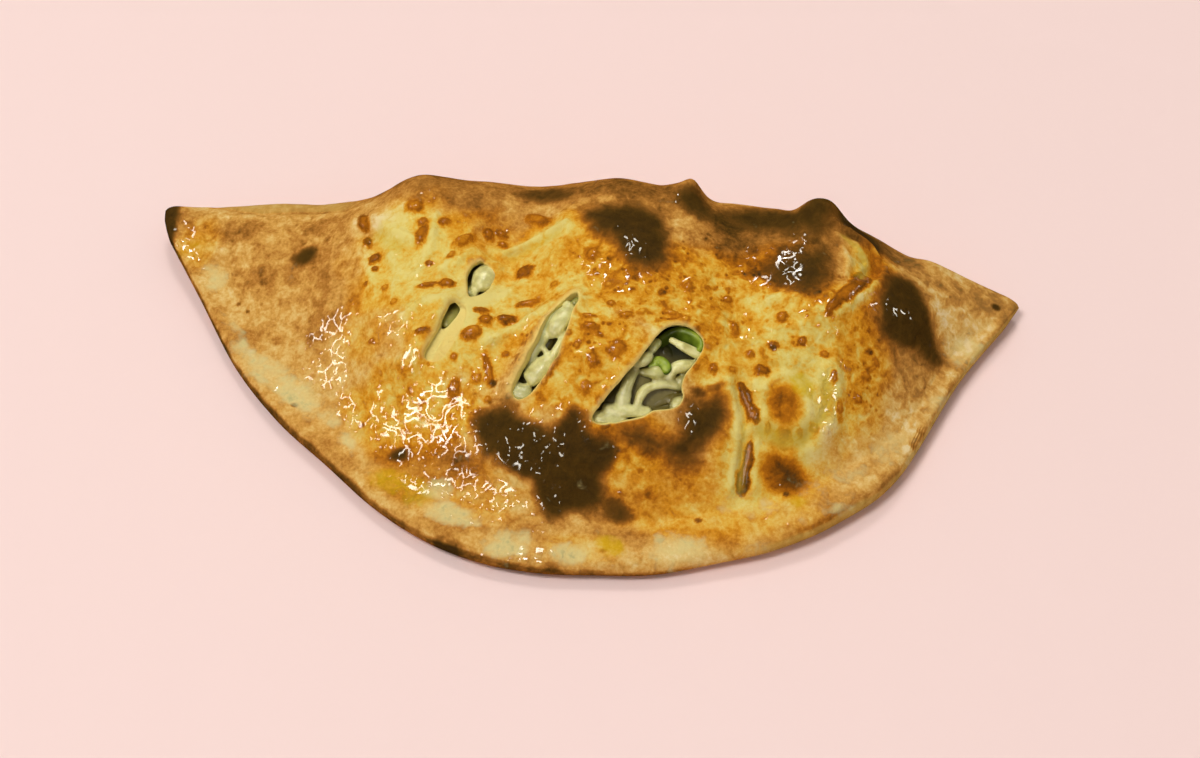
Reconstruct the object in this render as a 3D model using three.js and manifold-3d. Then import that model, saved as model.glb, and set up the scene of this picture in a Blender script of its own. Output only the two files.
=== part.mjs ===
// A baked calzone: a disc of dough folded into a half moon over its filling, pinched along the curved seam,
// puffed in the middle and slashed three times on top, so that the filling shows through the slashes.
//
// Frame: millimetres, +X along the fold towards the right horn, +Y from the seam towards the fold, +Z up.
// The crust rests on z = 0, and the origin is below the middle of its box. Shapes are written in fold
// coordinates, whose y = 0 is the straight line between the two horns; the group moves them into the frame.

import * as THREE from "three";
import { mergeVertices } from "three/addons/utils/BufferGeometryUtils.js";
import Module from "manifold-3d";

const wasm = await Module();
wasm.setup();

// ---- Driving dimensions ----

const halfLength = 145; // from the middle of the fold to the tip of a horn
const hornShare = 0.035; // rounded end of a horn, as a share of halfLength
const wall = 4.5; // baked dough over the filling and behind it
const floor = 4; // baked dough under the filling
const rimWidth = 16; // pinched flat rim along the seam
const rimSlope = 0.06; // share of the dome's height gained across the rim
const sealWidth = 6; // thick dough between the rim and the filling
const domeRun = 52; // from the rim up to the plateau over the filling
const domePower = 1.15; // above 1, the dome leaves the rim softly
const foldRound = { top: 24, bottom: 14 }; // how far the round of the fold reaches over and under
const narrow = { rim: 0.3, dome: 0.75, fold: 0.35 }; // the most that each may take of a narrow section
const foldMiddle = 0.38; // height of the fold's rearmost line, as a share of the crest
const gap = 0.7; // clearance between the dough and the filling
const wedgeGaps = 3; // the same at the hollow's thin front edge, in gaps
const headroom = { closed: 1.5, open: 4.5 }; // air over the filling, away from the slashes and below them
const hollowHalf = 108; // half length of the hollow that holds the filling
const hollowMiddle = 10; // height towards which the hollow's ends close
const hollowEndPower = 6; // above 2, the ends close more bluntly than a round
const hollowLeast = 3.5; // height of the hollow at its thinnest
const fillingLeast = 1; // height of the filling at its thinnest
const crustSteps = { length: 66, top: 34, bottom: 8 };
const hollowSteps = { length: 28, top: 12, bottom: 6 };
const evenShare = 0.45; // how evenly the points of a section are spaced, from 0, closer at the edges, to 1

// Lofting stations at equal steps from the left horn to the right one: where the seam lies in front of the
// line between the horns and the fold behind it, how high the plateau is, how thick the pinched rim is, and
// how far the underside curls up.
const stations = {
  seam: [5, 30, 56, 75, 89, 103, 113, 118.5, 120, 118.5, 116, 110, 103, 91.5, 72.5, 32, 1.5],
  fold: [2, 6, 9, 10, 11, 13, 15, 16, 16, 16, 15, 14, 14, 13, 11, 8, 2],
  crest: [8, 13, 18, 21, 30, 41, 41.5, 40, 46, 47, 45, 41, 44, 39, 24.5, 14.5, 5.5],
  rim: [6, 7, 7, 7, 7, 7, 7, 7, 7, 7, 7, 8, 9, 10, 10, 8, 6],
  lift: [6, 2, 0, 0, 0, 0, 0, 0, 0, 0, 0, 0, 0, 0, 0, 1, 3],
};
const swellFade = 10; // swells and pleats reach their full height this far above the rim

// Puffed blisters and sunken places of the top: middle, half axes, turn in degrees, and height.
const swells = [
  { x: -57, y: 4, along: 11, across: 11, turn: 0, height: 5 },
  { x: 11, y: 6, along: 13, across: 9, turn: 0, height: 4.5 },
  { x: 32, y: 8, along: 6.5, across: 7.5, turn: 0, height: 7 },
  { x: 75, y: 4, along: 9, across: 8, turn: 0, height: 10.5 },
  { x: 104, y: 4, along: 6.5, across: 7.5, turn: 0, height: -2 },
  { x: -12, y: -88, along: 16, across: 10, turn: -25, height: 3 },
  { x: 14, y: -18, along: 12, across: 8, turn: -30, height: 3 },
  { x: 50, y: -80, along: 8, across: 7, turn: 0, height: 2 },
  { x: 108, y: -24, along: 8, across: 12, turn: -25, height: 4 },
  { x: -80, y: -45, along: 8, across: 7, turn: 30, height: 2 },
  { x: -56, y: -33, along: 12, across: 15, turn: 10, height: -4.5 },
  { x: -17, y: -36, along: 10, across: 13, turn: 60, height: -3 },
  { x: 76, y: -48, along: 14, across: 9, turn: 0, height: -3.5 },
  { x: 94, y: -13, along: 4, across: 11, turn: -20, height: -4 },
  { x: 72, y: -66, along: 7, across: 6, turn: 0, height: 2.5 },
];

// Soft pleats of the sagging top: a ridge from one end to the other, with its half width and height.
const pleats = [
  { from: [-72, -6], to: [-58, -27], width: 4.5, height: 3 },
  { from: [-4, -14], to: [-24, -56], width: 4.5, height: 2.5 },
  { from: [2, -46], to: [-15, -73], width: 3.5, height: 2 },
  { from: [-48, -66], to: [-38, -46], width: 3.5, height: 1.5 },
  { from: [52, -60], to: [54, -92], width: 3.5, height: 2 },
  { from: [62, -73], to: [84, -69], width: 3.5, height: 2 },
  { from: [84, -69], to: [84, -50], width: 3.5, height: 2 },
  { from: [94, -20], to: [79, -38], width: 4, height: 2 },
];

// The three slashes: their two ends, and how far each side has opened, at equal steps between them.
const slashes = [
  { from: [-44, -65.5], to: [-26, -31.5], left: [0.6, 0.5, 1, 2.8], right: [6.5, 5.5, 5, 4.5] },
  { from: [-13.5, -75.5], to: [2.5, -50], left: [1, 1, 1, 1], right: [5, 4.6, 4, 2.6] },
  { from: [12.5, -82], to: [40.5, -51.5], left: [2, 3.7, 4.6, 5.3], right: [7.5, 10.5, 12, 8] },
];
const slashReach = 11; // half width of the place below a slash where the filling has sunk
const cutter = { from: 14, to: 90, divisions: 24 }; // heights and outline steps of a prism that cuts a slash

// Melted cheese and vegetable pieces that show in the slashes: points across the top, each with its depth
// below the crust's surface, and the piece's radius.
const strands = [
  { path: [[-42, -66, 11], [-41, -62.5, 4.5], [-36.5, -57.5, 3.5], [-31.5, -50, 5], [-31, -47, 11]],
    radius: 3.2 },
  { path: [[-36, -50, 10], [-33, -47, 3.2], [-29, -45, 10]], radius: 1.8 },
  { path: [[-30, -43, 11], [-28.8, -39.5, 4], [-27.5, -35, 4.5], [-27, -32, 11]], radius: 3 },
  { path: [[-12, -76, 10], [-9.5, -71.5, 4.5], [-5.5, -68, 4.5], [-2, -66, 10]], radius: 2.2 },
  { path: [[-3, -62, 11], [-1.5, -58, 4.5], [1.5, -53.5, 4], [2.5, -50, 11]], radius: 2.4 },
  { path: [[31, -55, 10.5], [33.5, -56.5, 3.6], [38, -58.2, 3.2], [43, -60, 4.5], [45, -61, 10.5]],
    radius: 1.6 },
  { path: [[34, -65.5, 11], [36, -62, 4], [39, -61.5, 3.2], [40, -64, 3.6], [36, -67.5, 3.6],
    [30, -69.5, 3.4], [25.5, -73.5, 4], [24, -77, 11]], radius: 1.7 },
  { path: [[26, -64.5, 11], [23, -68, 4.5], [21.5, -72.5, 4.2], [20.5, -77, 11]], radius: 1.7 },
  { path: [[11, -82, 12], [15, -80.5, 5.5], [21, -79.5, 4], [28, -78.5, 4.5], [31, -77, 11]], radius: 2.6 },
  { path: [[35, -75, 10.5], [37, -72.5, 4.5], [40, -69.5, 10.5]], radius: 2 },
  { path: [[24.5, -67, 11], [27.5, -66.5, 5], [30.5, -65.8, 4.2], [34, -64.5, 11]], radius: 2 },
  { path: [[22, -65, 11], [25.5, -62.5, 5], [28, -59, 11]], radius: 2 },
];
const strandSides = 6;
const strandStep = 3.5; // about the length of one step along a strand

// Two pieces of green pepper, cut across the wall: middle, depth of the upper edge, arc and its start.
const pepperSlices = [
  { name: "pepper_slice_upper", x: 37.4, y: -56.6, depth: 2.6, radius: 3.8, start: 25, sweep: 135 },
  { name: "pepper_slice_lower", x: 30.2, y: -63.6, depth: 3.2, radius: 1.9, start: 10, sweep: 150 },
];
const slice = { thickness: 2.4, height: 4.2, steps: 8 };

const finishes = {
  crust: { color: 0xc98a3c, roughness: 0.5, metalness: 0 },
  filling: { color: 0xd9d3a0, roughness: 0.35, metalness: 0 },
  pepper: { color: 0x6f8f2a, roughness: 0.35, metalness: 0 },
};

// ---- Curves ----

const clamp01 = (s) => Math.min(Math.max(s, 0), 1);

// Height of a quarter circle over its run: 0 and upright at 0, 1 and level from 1 on.
const quarterRound = (s) => Math.sqrt(1 - (1 - clamp01(s)) ** 2);

// Smooth curve through values at equal steps, read at u from -1 to 1.
function alongLength(values, u) {
  const last = values.length - 1;
  const place = Math.min(clamp01((u + 1) / 2) * last, last - 1e-9);
  const i = Math.floor(place);
  const t = place - i;
  const b = values[i];
  const c = values[i + 1];
  const a = i > 0 ? values[i - 1] : 2 * b - c;
  const d = i + 2 <= last ? values[i + 2] : 2 * c - b;
  return b + 0.5 * t * (c - a + t * (2 * a - 5 * b + 4 * c - d + t * (3 * (b - c) + d - a)));
}

// ---- The shape of the folded dough ----

// The cross-section at u: its edges, the rim's thickness, and the crest and the underside's lift.
function sectionAt(u) {
  const taper = Math.sqrt(1 - clamp01((Math.abs(u) - 1 + hornShare) / hornShare) ** 2);
  const fullRim = alongLength(stations.rim, u);
  const rim = fullRim * taper;
  return {
    front: -alongLength(stations.seam, u) * taper,
    back: alongLength(stations.fold, u) * taper,
    rim,
    crest: rim + (alongLength(stations.crest, u) - fullRim) * taper,
    lift: Math.max(alongLength(stations.lift, u), 0) + (fullRim - rim) / 2,
  };
}

// Height that the swells and pleats add at a point of the top.
function reliefAt(x, y) {
  let height = 0;
  for (const swell of swells) {
    const turn = THREE.MathUtils.degToRad(swell.turn);
    const dx = x - swell.x;
    const dy = y - swell.y;
    const along = (dx * Math.cos(turn) + dy * Math.sin(turn)) / swell.along;
    const across = (dy * Math.cos(turn) - dx * Math.sin(turn)) / swell.across;
    height += swell.height * Math.exp(-along * along - across * across);
  }
  for (const pleat of pleats) {
    const share = distanceTo(pleat.from, pleat.to, x, y) / pleat.width;
    height += pleat.height * Math.exp(-share * share);
  }
  return height;
}

// Distance in plan from a point to the straight line between two others.
function distanceTo([ax, ay], [bx, by], x, y) {
  const dx = bx - ax;
  const dy = by - ay;
  const t = clamp01(((x - ax) * dx + (y - ay) * dy) / (dx * dx + dy * dy));
  return Math.hypot(x - ax - t * dx, y - ay - t * dy);
}

// Height of the top or of the underside at a point of a cross-section.
function crustHeight(section, x, y, side) {
  const { front, back, rim, crest, lift } = section;
  const fromFront = y - front;
  const fromBack = back - y;
  const width = Math.max(back - front, 1e-6);
  const halfRim = Math.max(rim / 2, 1e-6);
  const middle = lift + foldMiddle * crest;
  const edge = halfRim * quarterRound(fromFront / halfRim);
  let z = lift + halfRim - edge;
  if (side === "top") {
    const flat = Math.min(rimWidth, narrow.rim * width);
    const run = Math.min(domeRun, narrow.dome * (width - flat));
    const rise = Math.sin((Math.PI / 2) * clamp01((fromFront - flat) / run)) ** domePower;
    const share = rise + rimSlope * clamp01(fromFront / flat) * (1 - rise);
    z = lift + halfRim + edge + (crest - rim) * share;
    z += reliefAt(x, y) * clamp01((z - lift - rim) / swellFade);
  }
  const reach = Math.min(foldRound[side], narrow.fold * width);
  return middle + (z - middle) * quarterRound(fromBack / reach);
}

// Height of the crust's top at a point in plan.
function crustTop(x, y) {
  return crustHeight(sectionAt(x / halfLength), x, y, "top");
}

// A closed skin round the X axis: a sphere with its poles at the two ends, whose vertices go where
// place(u, share, side) says, for u from -1 to 1 and share from 0 at the front to 1 at the back.
function skin(steps, place) {
  const around = steps.top + steps.bottom;
  const geometry = new THREE.SphereGeometry(1, around, steps.length);
  const { position } = geometry.attributes;
  for (let i = 0; i < position.count; i++) {
    const angle = (Math.PI * Math.floor(i / (around + 1))) / steps.length;
    const step = i % (around + 1);
    const side = step < steps.bottom ? "bottom" : "top";
    const share = side === "bottom" ? step / steps.bottom : (around - step) / steps.top;
    position.setXYZ(i, ...place(Math.cos(angle), share, side));
  }
  return geometry;
}

// Moves the points of a section closer to its two edges.
const spread = (share) => evenShare * share + ((1 - evenShare) * (1 - Math.cos(Math.PI * share))) / 2;

function crustSkin() {
  return skin(crustSteps, (u, share, side) => {
    const section = sectionAt(u);
    const x = halfLength * u;
    const y = THREE.MathUtils.lerp(section.front, section.back, spread(share));
    return [x, y, crustHeight(section, x, y, side)];
  });
}

// How far the filling has sunk below a closed crust, 1 in the middle of a slash and 0 away from them.
function openness(x, y) {
  let nearest = Infinity;
  for (const slash of slashes) {
    nearest = Math.min(nearest, distanceTo(slash.from, slash.to, x, y));
  }
  return Math.exp(-((nearest / slashReach) ** 2));
}

// The hollow inside the dough, or what fills it: smaller by inset all round, and lower by the air over it.
function hollowSkin(inset, air) {
  return skin(hollowSteps, (u, share, side) => {
    const x = (hollowHalf - inset) * u;
    const section = sectionAt(x / halfLength);
    const closing = Math.sqrt(1 - u ** hollowEndPower);
    const front = section.front + rimWidth + sealWidth + wedgeGaps * inset;
    const back = section.back - wall - inset;
    const y = THREE.MathUtils.lerp(front, back, spread(share));
    const under = floor + inset;
    const low = Math.max(floor + hollowLeast / 2, foldMiddle * section.crest);
    const roof = Math.max(crustHeight(section, x, y, "top") - wall, floor + hollowLeast);
    const lowered = THREE.MathUtils.lerp(air.closed, air.open, openness(x, y));
    const ceiling = Math.max(roof - inset - lowered, under + fillingLeast);
    const frontRound = quarterRound((y - front) / sealWidth);
    const backRound = quarterRound((back - y) / foldRound[side]);
    const open = side === "top" ? under + (ceiling - under) * frontRound : under;
    const z = low + (open - low) * backRound;
    const middle = (front + back) / 2;
    return [x, middle + (y - middle) * closing, hollowMiddle + (z - hollowMiddle) * closing];
  });
}

// ---- Joining and cutting ----

function solidOf(geometry) {
  const bare = new THREE.BufferGeometry();
  bare.setAttribute("position", geometry.getAttribute("position"));
  bare.setIndex(geometry.getIndex());
  const merged = mergeVertices(bare);
  const triVerts = [];
  for (let i = 0; i < merged.index.count; i += 3) {
    const corners = [0, 1, 2].map((k) => merged.index.getX(i + k));
    if (new Set(corners).size === 3) {
      triVerts.push(...corners);
    }
  }
  const vertProperties = new Float32Array(merged.attributes.position.array);
  return new wasm.Manifold(
    new wasm.Mesh({ numProp: 3, vertProperties, triVerts: new Uint32Array(triVerts) }),
  );
}

function geometryOf(solid) {
  const { vertProperties, triVerts } = solid.getMesh();
  const geometry = new THREE.BufferGeometry();
  geometry.setAttribute("position", new THREE.BufferAttribute(vertProperties, 3));
  geometry.setIndex(new THREE.BufferAttribute(triVerts, 1));
  geometry.computeVertexNormals();
  return geometry;
}

function joined(solids) {
  return solids.reduce((whole, solid) => whole.add(solid));
}

// ---- Slashes ----

// An upright prism with the outline of a slash, narrower by margin all round.
function slashPrism(slash, margin) {
  const [ax, ay] = slash.from;
  const [bx, by] = slash.to;
  const length = Math.hypot(bx - ax, by - ay);
  const point = (share, offset) => {
    const along = margin + share * (length - 2 * margin);
    return new THREE.Vector3(
      ax + ((bx - ax) * along - (by - ay) * offset) / length,
      ay + ((by - ay) * along + (bx - ax) * offset) / length,
      0,
    );
  };
  const shareOf = (i, widths) => (i + 1) / (widths.length + 1);
  const leftSide = slash.left.map((width, i) => point(shareOf(i, slash.left), width - margin));
  const rightSide = slash.right.map((width, i) => point(shareOf(i, slash.right), margin - width));
  const corners = [point(0, 0), ...rightSide, point(1, 0), ...leftSide.reverse()];
  const outline = new THREE.CatmullRomCurve3(corners, true).getPoints(cutter.divisions).slice(0, -1);
  const prism = new THREE.ExtrudeGeometry(new THREE.Shape(outline), {
    depth: cutter.to - cutter.from,
    bevelEnabled: false,
  });
  return solidOf(prism.translate(0, 0, cutter.from));
}

function makeCrust() {
  const hollow = solidOf(hollowSkin(0, { closed: 0, open: 0 }));
  const openings = slashes.map((slash) => slashPrism(slash, 0));
  return solidOf(crustSkin()).subtract(joined([hollow, ...openings]));
}

// ---- Filling ----

function makeStrand({ path, radius }) {
  const points = path.map(([x, y, depth]) => new THREE.Vector3(x, y, crustTop(x, y) - depth));
  const curve = new THREE.CatmullRomCurve3(points);
  const section = new THREE.Shape().absarc(0, 0, radius, 0, 2 * Math.PI);
  return solidOf(
    new THREE.ExtrudeGeometry(section, {
      steps: Math.ceil(curve.getLength() / strandStep),
      curveSegments: strandSides / 2,
      extrudePath: curve,
    }),
  );
}

// An arc of pepper wall standing on edge, larger by margin all round.
function sliceSolid({ x, y, depth, radius, start, sweep }, margin) {
  const from = THREE.MathUtils.degToRad(start);
  const to = THREE.MathUtils.degToRad(start + sweep);
  const half = slice.thickness / 2 + margin;
  const extra = margin / radius;
  const outline = new THREE.Shape();
  outline.absarc(0, 0, radius + half, from - extra, to + extra, false);
  outline.absarc(0, 0, radius - half, to + extra, from - extra, true);
  const geometry = new THREE.ExtrudeGeometry(outline, {
    depth: slice.height + 2 * margin,
    bevelEnabled: false,
    curveSegments: slice.steps / 2,
  });
  return solidOf(geometry.translate(x, y, crustTop(x, y) - depth - slice.height - margin));
}

// Where the filling and its pieces may lie: the hollow and the slashes, clear of the dough.
function makeRoom() {
  const hollow = solidOf(hollowSkin(gap, { closed: 0, open: 0 }));
  return joined([hollow, ...slashes.map((slash) => slashPrism(slash, gap))]);
}

function makeFilling(room) {
  const core = solidOf(hollowSkin(gap, headroom));
  const whole = joined([core, ...strands.map(makeStrand)]).intersect(room);
  return whole.subtract(joined(pepperSlices.map((piece) => sliceSolid(piece, gap))));
}

// ---- The part ----

function mesh(name, solid, finish) {
  const made = new THREE.Mesh(geometryOf(solid), new THREE.MeshStandardMaterial(finish));
  made.name = name;
  return made;
}

const room = makeRoom();
const calzone = new THREE.Group();
calzone.add(mesh("crust", makeCrust(), finishes.crust));
calzone.add(mesh("filling", makeFilling(room), finishes.filling));
for (const piece of pepperSlices) {
  calzone.add(mesh(piece.name, sliceSolid(piece, 0).intersect(room), finishes.pepper));
}

const box = new THREE.Box3().setFromObject(calzone);
calzone.position.y = -(box.min.y + box.max.y) / 2;

export default calzone;
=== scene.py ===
import bpy
import numpy as np
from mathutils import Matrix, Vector


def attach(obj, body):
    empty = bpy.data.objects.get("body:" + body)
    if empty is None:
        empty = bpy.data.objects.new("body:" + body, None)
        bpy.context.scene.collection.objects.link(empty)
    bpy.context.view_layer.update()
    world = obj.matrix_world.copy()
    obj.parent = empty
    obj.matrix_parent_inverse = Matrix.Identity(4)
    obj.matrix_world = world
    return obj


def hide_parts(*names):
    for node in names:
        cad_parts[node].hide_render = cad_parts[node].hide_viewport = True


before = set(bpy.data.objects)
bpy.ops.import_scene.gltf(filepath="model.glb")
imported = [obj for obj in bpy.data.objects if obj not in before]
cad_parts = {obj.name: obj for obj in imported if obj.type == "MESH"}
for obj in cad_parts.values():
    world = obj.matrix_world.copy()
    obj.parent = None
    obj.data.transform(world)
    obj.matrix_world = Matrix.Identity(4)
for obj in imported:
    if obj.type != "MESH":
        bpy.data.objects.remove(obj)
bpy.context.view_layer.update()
print("frame loaded:", sorted(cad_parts))

# The calzone is worked out in mm, in fold coordinates: x along the fold, y = 0 on the line between the two
# horns and negative towards the seam, z up from the table. place() turns them into metres in the frame.

dough = {
    "halfLength": 145.0, "hornShare": 0.035, "wall": 4.5, "floor": 4.0,
    "rimWidth": 16.0, "rimSlope": 0.06, "sealWidth": 6.0, "domeRun": 52.0, "domePower": 1.15,
    "foldRoundTop": 24.0, "foldRoundBottom": 14.0, "foldMiddle": 0.38, "swellFade": 10.0, "knobFade": 5.0,
    "narrowRim": 0.3, "narrowDome": 0.75, "narrowFold": 0.35, "reliefFade": 3.0,
    # at equal steps from the left horn to the right one
    "seam": [5, 30, 56, 75, 89, 103, 113, 118.5, 120, 118.5, 116, 110, 103, 91.5, 72.5, 32, 1.5],
    "fold": [2, 6, 9, 10, 11, 13, 15, 16, 16, 16, 15, 14, 14, 13, 11, 8, 2],
    "crest": [8, 13, 18, 21, 30, 41, 41.5, 40, 46, 47, 45, 41, 44, 39, 24.5, 14.5, 5.5],
    "rim": [6, 7, 7, 7, 7, 7, 7, 7, 7, 7, 7, 8, 9, 10, 10, 8, 6],
    "lift": [6, 2, 0, 0, 0, 0, 0, 0, 0, 0, 0, 0, 0, 0, 0, 1, 3],
    # x, y, half axes, turn in degrees, height
    "swells": [
        (-57, 4, 11, 11, 0, 5), (11, 6, 13, 9, 0, 4.5), (32, 8, 6.5, 7.5, 0, 7), (75, 4, 9, 8, 0, 10.5),
        (104, 4, 6.5, 7.5, 0, -2), (-12, -88, 16, 10, -25, 3), (14, -18, 12, 8, -30, 3),
        (50, -80, 8, 7, 0, 2), (108, -24, 8, 12, -25, 4), (-80, -45, 8, 7, 30, 2),
        (-56, -33, 12, 15, 10, -4.5), (-17, -36, 10, 13, 60, -3), (76, -48, 14, 9, 0, -3.5),
        (94, -13, 4, 11, -20, -4), (72, -66, 7, 6, 0, 2.5),
    ],
    # small ones, on top of the solid's own
    "knobs": [
        (34, 7, 3, 5, 0, 3.6), (41, 6, 4, 6, 0, -1.6), (55, 8, 9, 6, 0, 2.6), (116, 6, 9, 6, 0, 3.0),
        (67.5, 6, 4, 7, 0, -2.6), (79.5, 6, 3.6, 5, 0, 1.8), (-100, 5, 10, 4, 0, 1.0),
        (91, 4, 8, 9, 0, -2.2), (-77, 4, 8, 6, 0, -1.2), (101, 4, 7, 8, 0, -2),
    ],
    # lines from x, y to x, y, half width, height
    "pleats": [
        (-72, -6, -58, -27, 5, 1.8), (-4, -14, -24, -56, 5, 1.6), (2, -46, -15, -73, 3.5, 2),
        (-48, -66, -38, -46, 3.5, 1.5), (52, -60, 54, -92, 3.5, 2), (62, -73, 84, -69, 3.5, 2),
        (84, -69, 84, -50, 3.5, 2), (94, -20, 79, -38, 4, 2),
    ],
}


def smooth(s):
    # 0 below 0, 1 above 1, an S-curve between
    s = np.clip(s, 0, 1)
    return s * s * (3 - 2 * s)


def quarterRound(s):
    # height of a quarter circle over its run: upright at 0, level from 1 on
    return np.sqrt(np.clip(1 - (1 - np.clip(s, 0, 1)) ** 2, 0, 1))


def catmullRom(a, b, c, d, t):
    # the curve from b, at t = 0, to c, at t = 1, that bends as a to d do
    return b + 0.5 * t * (c - a + t * (2 * a - 5 * b + 4 * c - d + t * (3 * (b - c) + d - a)))


def alongLength(values, u):
    # Catmull-Rom curve through values at equal steps, read at u from -1 to 1
    v = np.asarray(values, float)
    last = len(v) - 1
    step = np.clip((u + 1) / 2 * last, 0, last - 1e-9)
    i = step.astype(int)
    padded = np.concatenate([[2 * v[0] - v[1]], v, [2 * v[-1] - v[-2]]])
    return catmullRom(padded[i], padded[i + 1], padded[i + 2], padded[i + 3], step - i)


def sectionAt(x):
    # the cross-section at x: front and back edge, rim thickness, crest height and lift of the underside,
    # all rounded off at the horns by a quarter of an ellipse
    u = x / dough["halfLength"]
    over = np.clip((np.abs(u) - 1 + dough["hornShare"]) / dough["hornShare"], 0, 1)
    taper = np.sqrt(1 - over ** 2)
    fullRim = alongLength(dough["rim"], u)
    rim = fullRim * taper
    crest = rim + (alongLength(dough["crest"], u) - fullRim) * taper
    lift = np.maximum(alongLength(dough["lift"], u), 0) + (fullRim - rim) / 2
    front = -alongLength(dough["seam"], u) * taper
    back = alongLength(dough["fold"], u) * taper
    return front, back, rim, crest, lift


def ellipseShare(x, y, cx, cy, along, across, turn):
    # distance from the middle of a turned ellipse, 1 on its edge
    c, s = np.cos(np.radians(turn)), np.sin(np.radians(turn))
    dx, dy = x - cx, y - cy
    return np.hypot((dx * c + dy * s) / along, (dy * c - dx * s) / across)


def lineShare(x, y, ax, ay, bx, by):
    # distance from the straight line between two points, and how far along it the nearest place is
    dx, dy = bx - ax, by - ay
    t = np.clip(((x - ax) * dx + (y - ay) * dy) / (dx * dx + dy * dy), 0, 1)
    return np.hypot(x - ax - t * dx, y - ay - t * dy), t


def lineDistance(x, y, points):
    # distance from a line through points
    return np.minimum.reduce([lineShare(x, y, *a, *b)[0] for a, b in zip(points, points[1:])])


def noise(x, y, size, seed):
    # random values on a square lattice of the given size, joined by S-curves, from -1 to 1
    lattice = np.random.RandomState(seed).uniform(-1, 1, (64, 64))
    gx, gy = x / size + 640.0, y / size + 640.0
    i, j = np.floor(gx).astype(int), np.floor(gy).astype(int)
    tx, ty = smooth(gx - i), smooth(gy - j)
    a, b = lattice[i % 64, j % 64], lattice[(i + 1) % 64, j % 64]
    c, d = lattice[i % 64, (j + 1) % 64], lattice[(i + 1) % 64, (j + 1) % 64]
    return (a * (1 - tx) + b * tx) * (1 - ty) + (c * (1 - tx) + d * tx) * ty


def fractal(x, y, size, seed, octaves=4):
    # noise in layers, each half as large and half as high as the last, turned a little
    total, height, norm = 0, 1.0, 0
    for k in range(octaves):
        c, s = np.cos(0.6 * k), np.sin(0.6 * k)
        total = total + height * noise(x * c + y * s, y * c - x * s, size / 2 ** k, seed + k)
        norm += height
        height *= 0.5
    return total / norm


def patches(x, y, spots, soft, ragged=0.0, size=6.0, seed=1):
    # the strongest of several soft ellipses with ragged edges: 1 inside, 0 outside
    edge = ragged * fractal(x, y, size, seed)
    total = np.zeros_like(x)
    for cx, cy, along, across, turn, *strength in spots:
        share = ellipseShare(x, y, cx, cy, along, across, turn) + edge
        level = smooth((1 + soft - share) / (2 * soft))
        total = np.maximum(total, level * (strength[0] if strength else 1))
    return total


def mounds(x, y, spots, tight=1.0, power=2):
    # the sum of soft hills: each its height times exp(-(tight * share) ** power) of a turned ellipse
    total = np.zeros_like(x)
    for cx, cy, along, across, turn, high in spots:
        total += high * np.exp(-(tight * ellipseShare(x, y, cx, cy, along, across, turn)) ** power)
    return total


def ridges(x, y, lines):
    # the highest of soft ridges: each its height times exp(-(distance / half width) ** 2) of a line
    total = np.zeros_like(x)
    for points, width, high in lines:
        total = np.maximum(total, high * np.exp(-(lineDistance(x, y, points) / width) ** 2))
    return total


# each slash: its mouth in the skin, corner by corner from its near end up the right side; which corner is its
# far end; its throat under the dough, as that mouth made smaller and moved; how soft and high its right lip
# is; how far its pale edge reaches; and how thick the dough is beside it
slashes = {
    "leftFar": {
        "mouth": [
            (-31.6, -44), (-30, -43.6), (-27.6, -41.4), (-26, -38.3), (-25.6, -34.6), (-26.6, -31.1),
            (-29.7, -30), (-32.2, -32.2), (-33.3, -36.3), (-32.8, -40.1),
        ],
        "far": 6, "shrink": (0.95, 0.95), "shift": (-0.3, 3.0),
        "softRight": 1.0, "ridgeRight": 0.4, "pale": 1.2, "thick": 2.6,
    },
    "left": {
        "mouth": [
            (-42.9, -64.2), (-40.5, -65.4), (-37.5, -65.2), (-34.6, -62.4), (-32.3, -56.4), (-31.4, -51.5),
            (-32.6, -48.4), (-35.1, -47.6), (-36.8, -49.3), (-37.8, -51.7), (-38.8, -54.6), (-39.6, -57.2),
            (-41.6, -60.9),
        ],
        "far": 7, "shrink": (0.92, 0.94), "shift": (0.0, 0.3),
        "softRight": 1.0, "ridgeRight": 0.1, "pale": 0.8, "thick": 6.2,
        # its floor is a soft roll of dough, low along the left side, that breaks open at its far end
        "floor": {"left": 3.6, "right": 0.25, "power": 1.7},
        "holes": [[
            (-35.1, -48), (-33.6, -49.6), (-34.1, -52), (-35.6, -54.5), (-37, -56.3), (-38.4, -56.6),
            (-38.4, -54.6), (-37.4, -51.7), (-36.6, -49.5),
        ]],
    },
    "middle": {
        "mouth": [
            (-13.4, -74.6), (-11.5, -76.2), (-8.6, -75.6), (-6.4, -73.7), (-3.8, -70.5), (-2, -67.7),
            (-0.3, -64.5), (0.2, -60.9), (1.2, -57.3), (1.9, -53.6), (2.5, -49.6), (3.6, -46.3), (2.8, -44),
            (-0.6, -47), (-4, -51), (-6.2, -56), (-7.3, -60.7), (-9.3, -64.3), (-10.2, -66.9), (-12, -70),
        ],
        "far": 12, "shrink": (0.7, 0.93), "shift": (1.0, 1.8),
        "softRight": 1.2, "ridgeRight": 0.6, "pale": 2.0, "thick": 2.6,
    },
    "right": {
        "mouth": [
            (12.2, -80), (14.2, -80.7), (17.5, -80.3), (23.2, -78.7), (27.7, -77.3), (30.8, -75.4),
            (35.1, -74.3), (38.2, -72.6), (39.4, -70.1), (38.6, -67.8), (39.2, -64.9), (40.8, -62),
            (42.2, -59.4), (43.7, -55.5), (43, -52.2), (39.8, -50.4), (35.6, -50.4), (32.1, -52.2),
            (29.4, -55.6), (27.9, -58.5), (25, -63.5), (21, -68.8), (17, -73.3), (14, -77.4),
        ],
        "far": 15, "shrink": (0.98, 0.97), "shift": (-0.3, 3.4),
        "softRight": 1.0, "ridgeRight": 0.5, "pale": 0.8, "thick": 1.7,
    },
}
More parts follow.
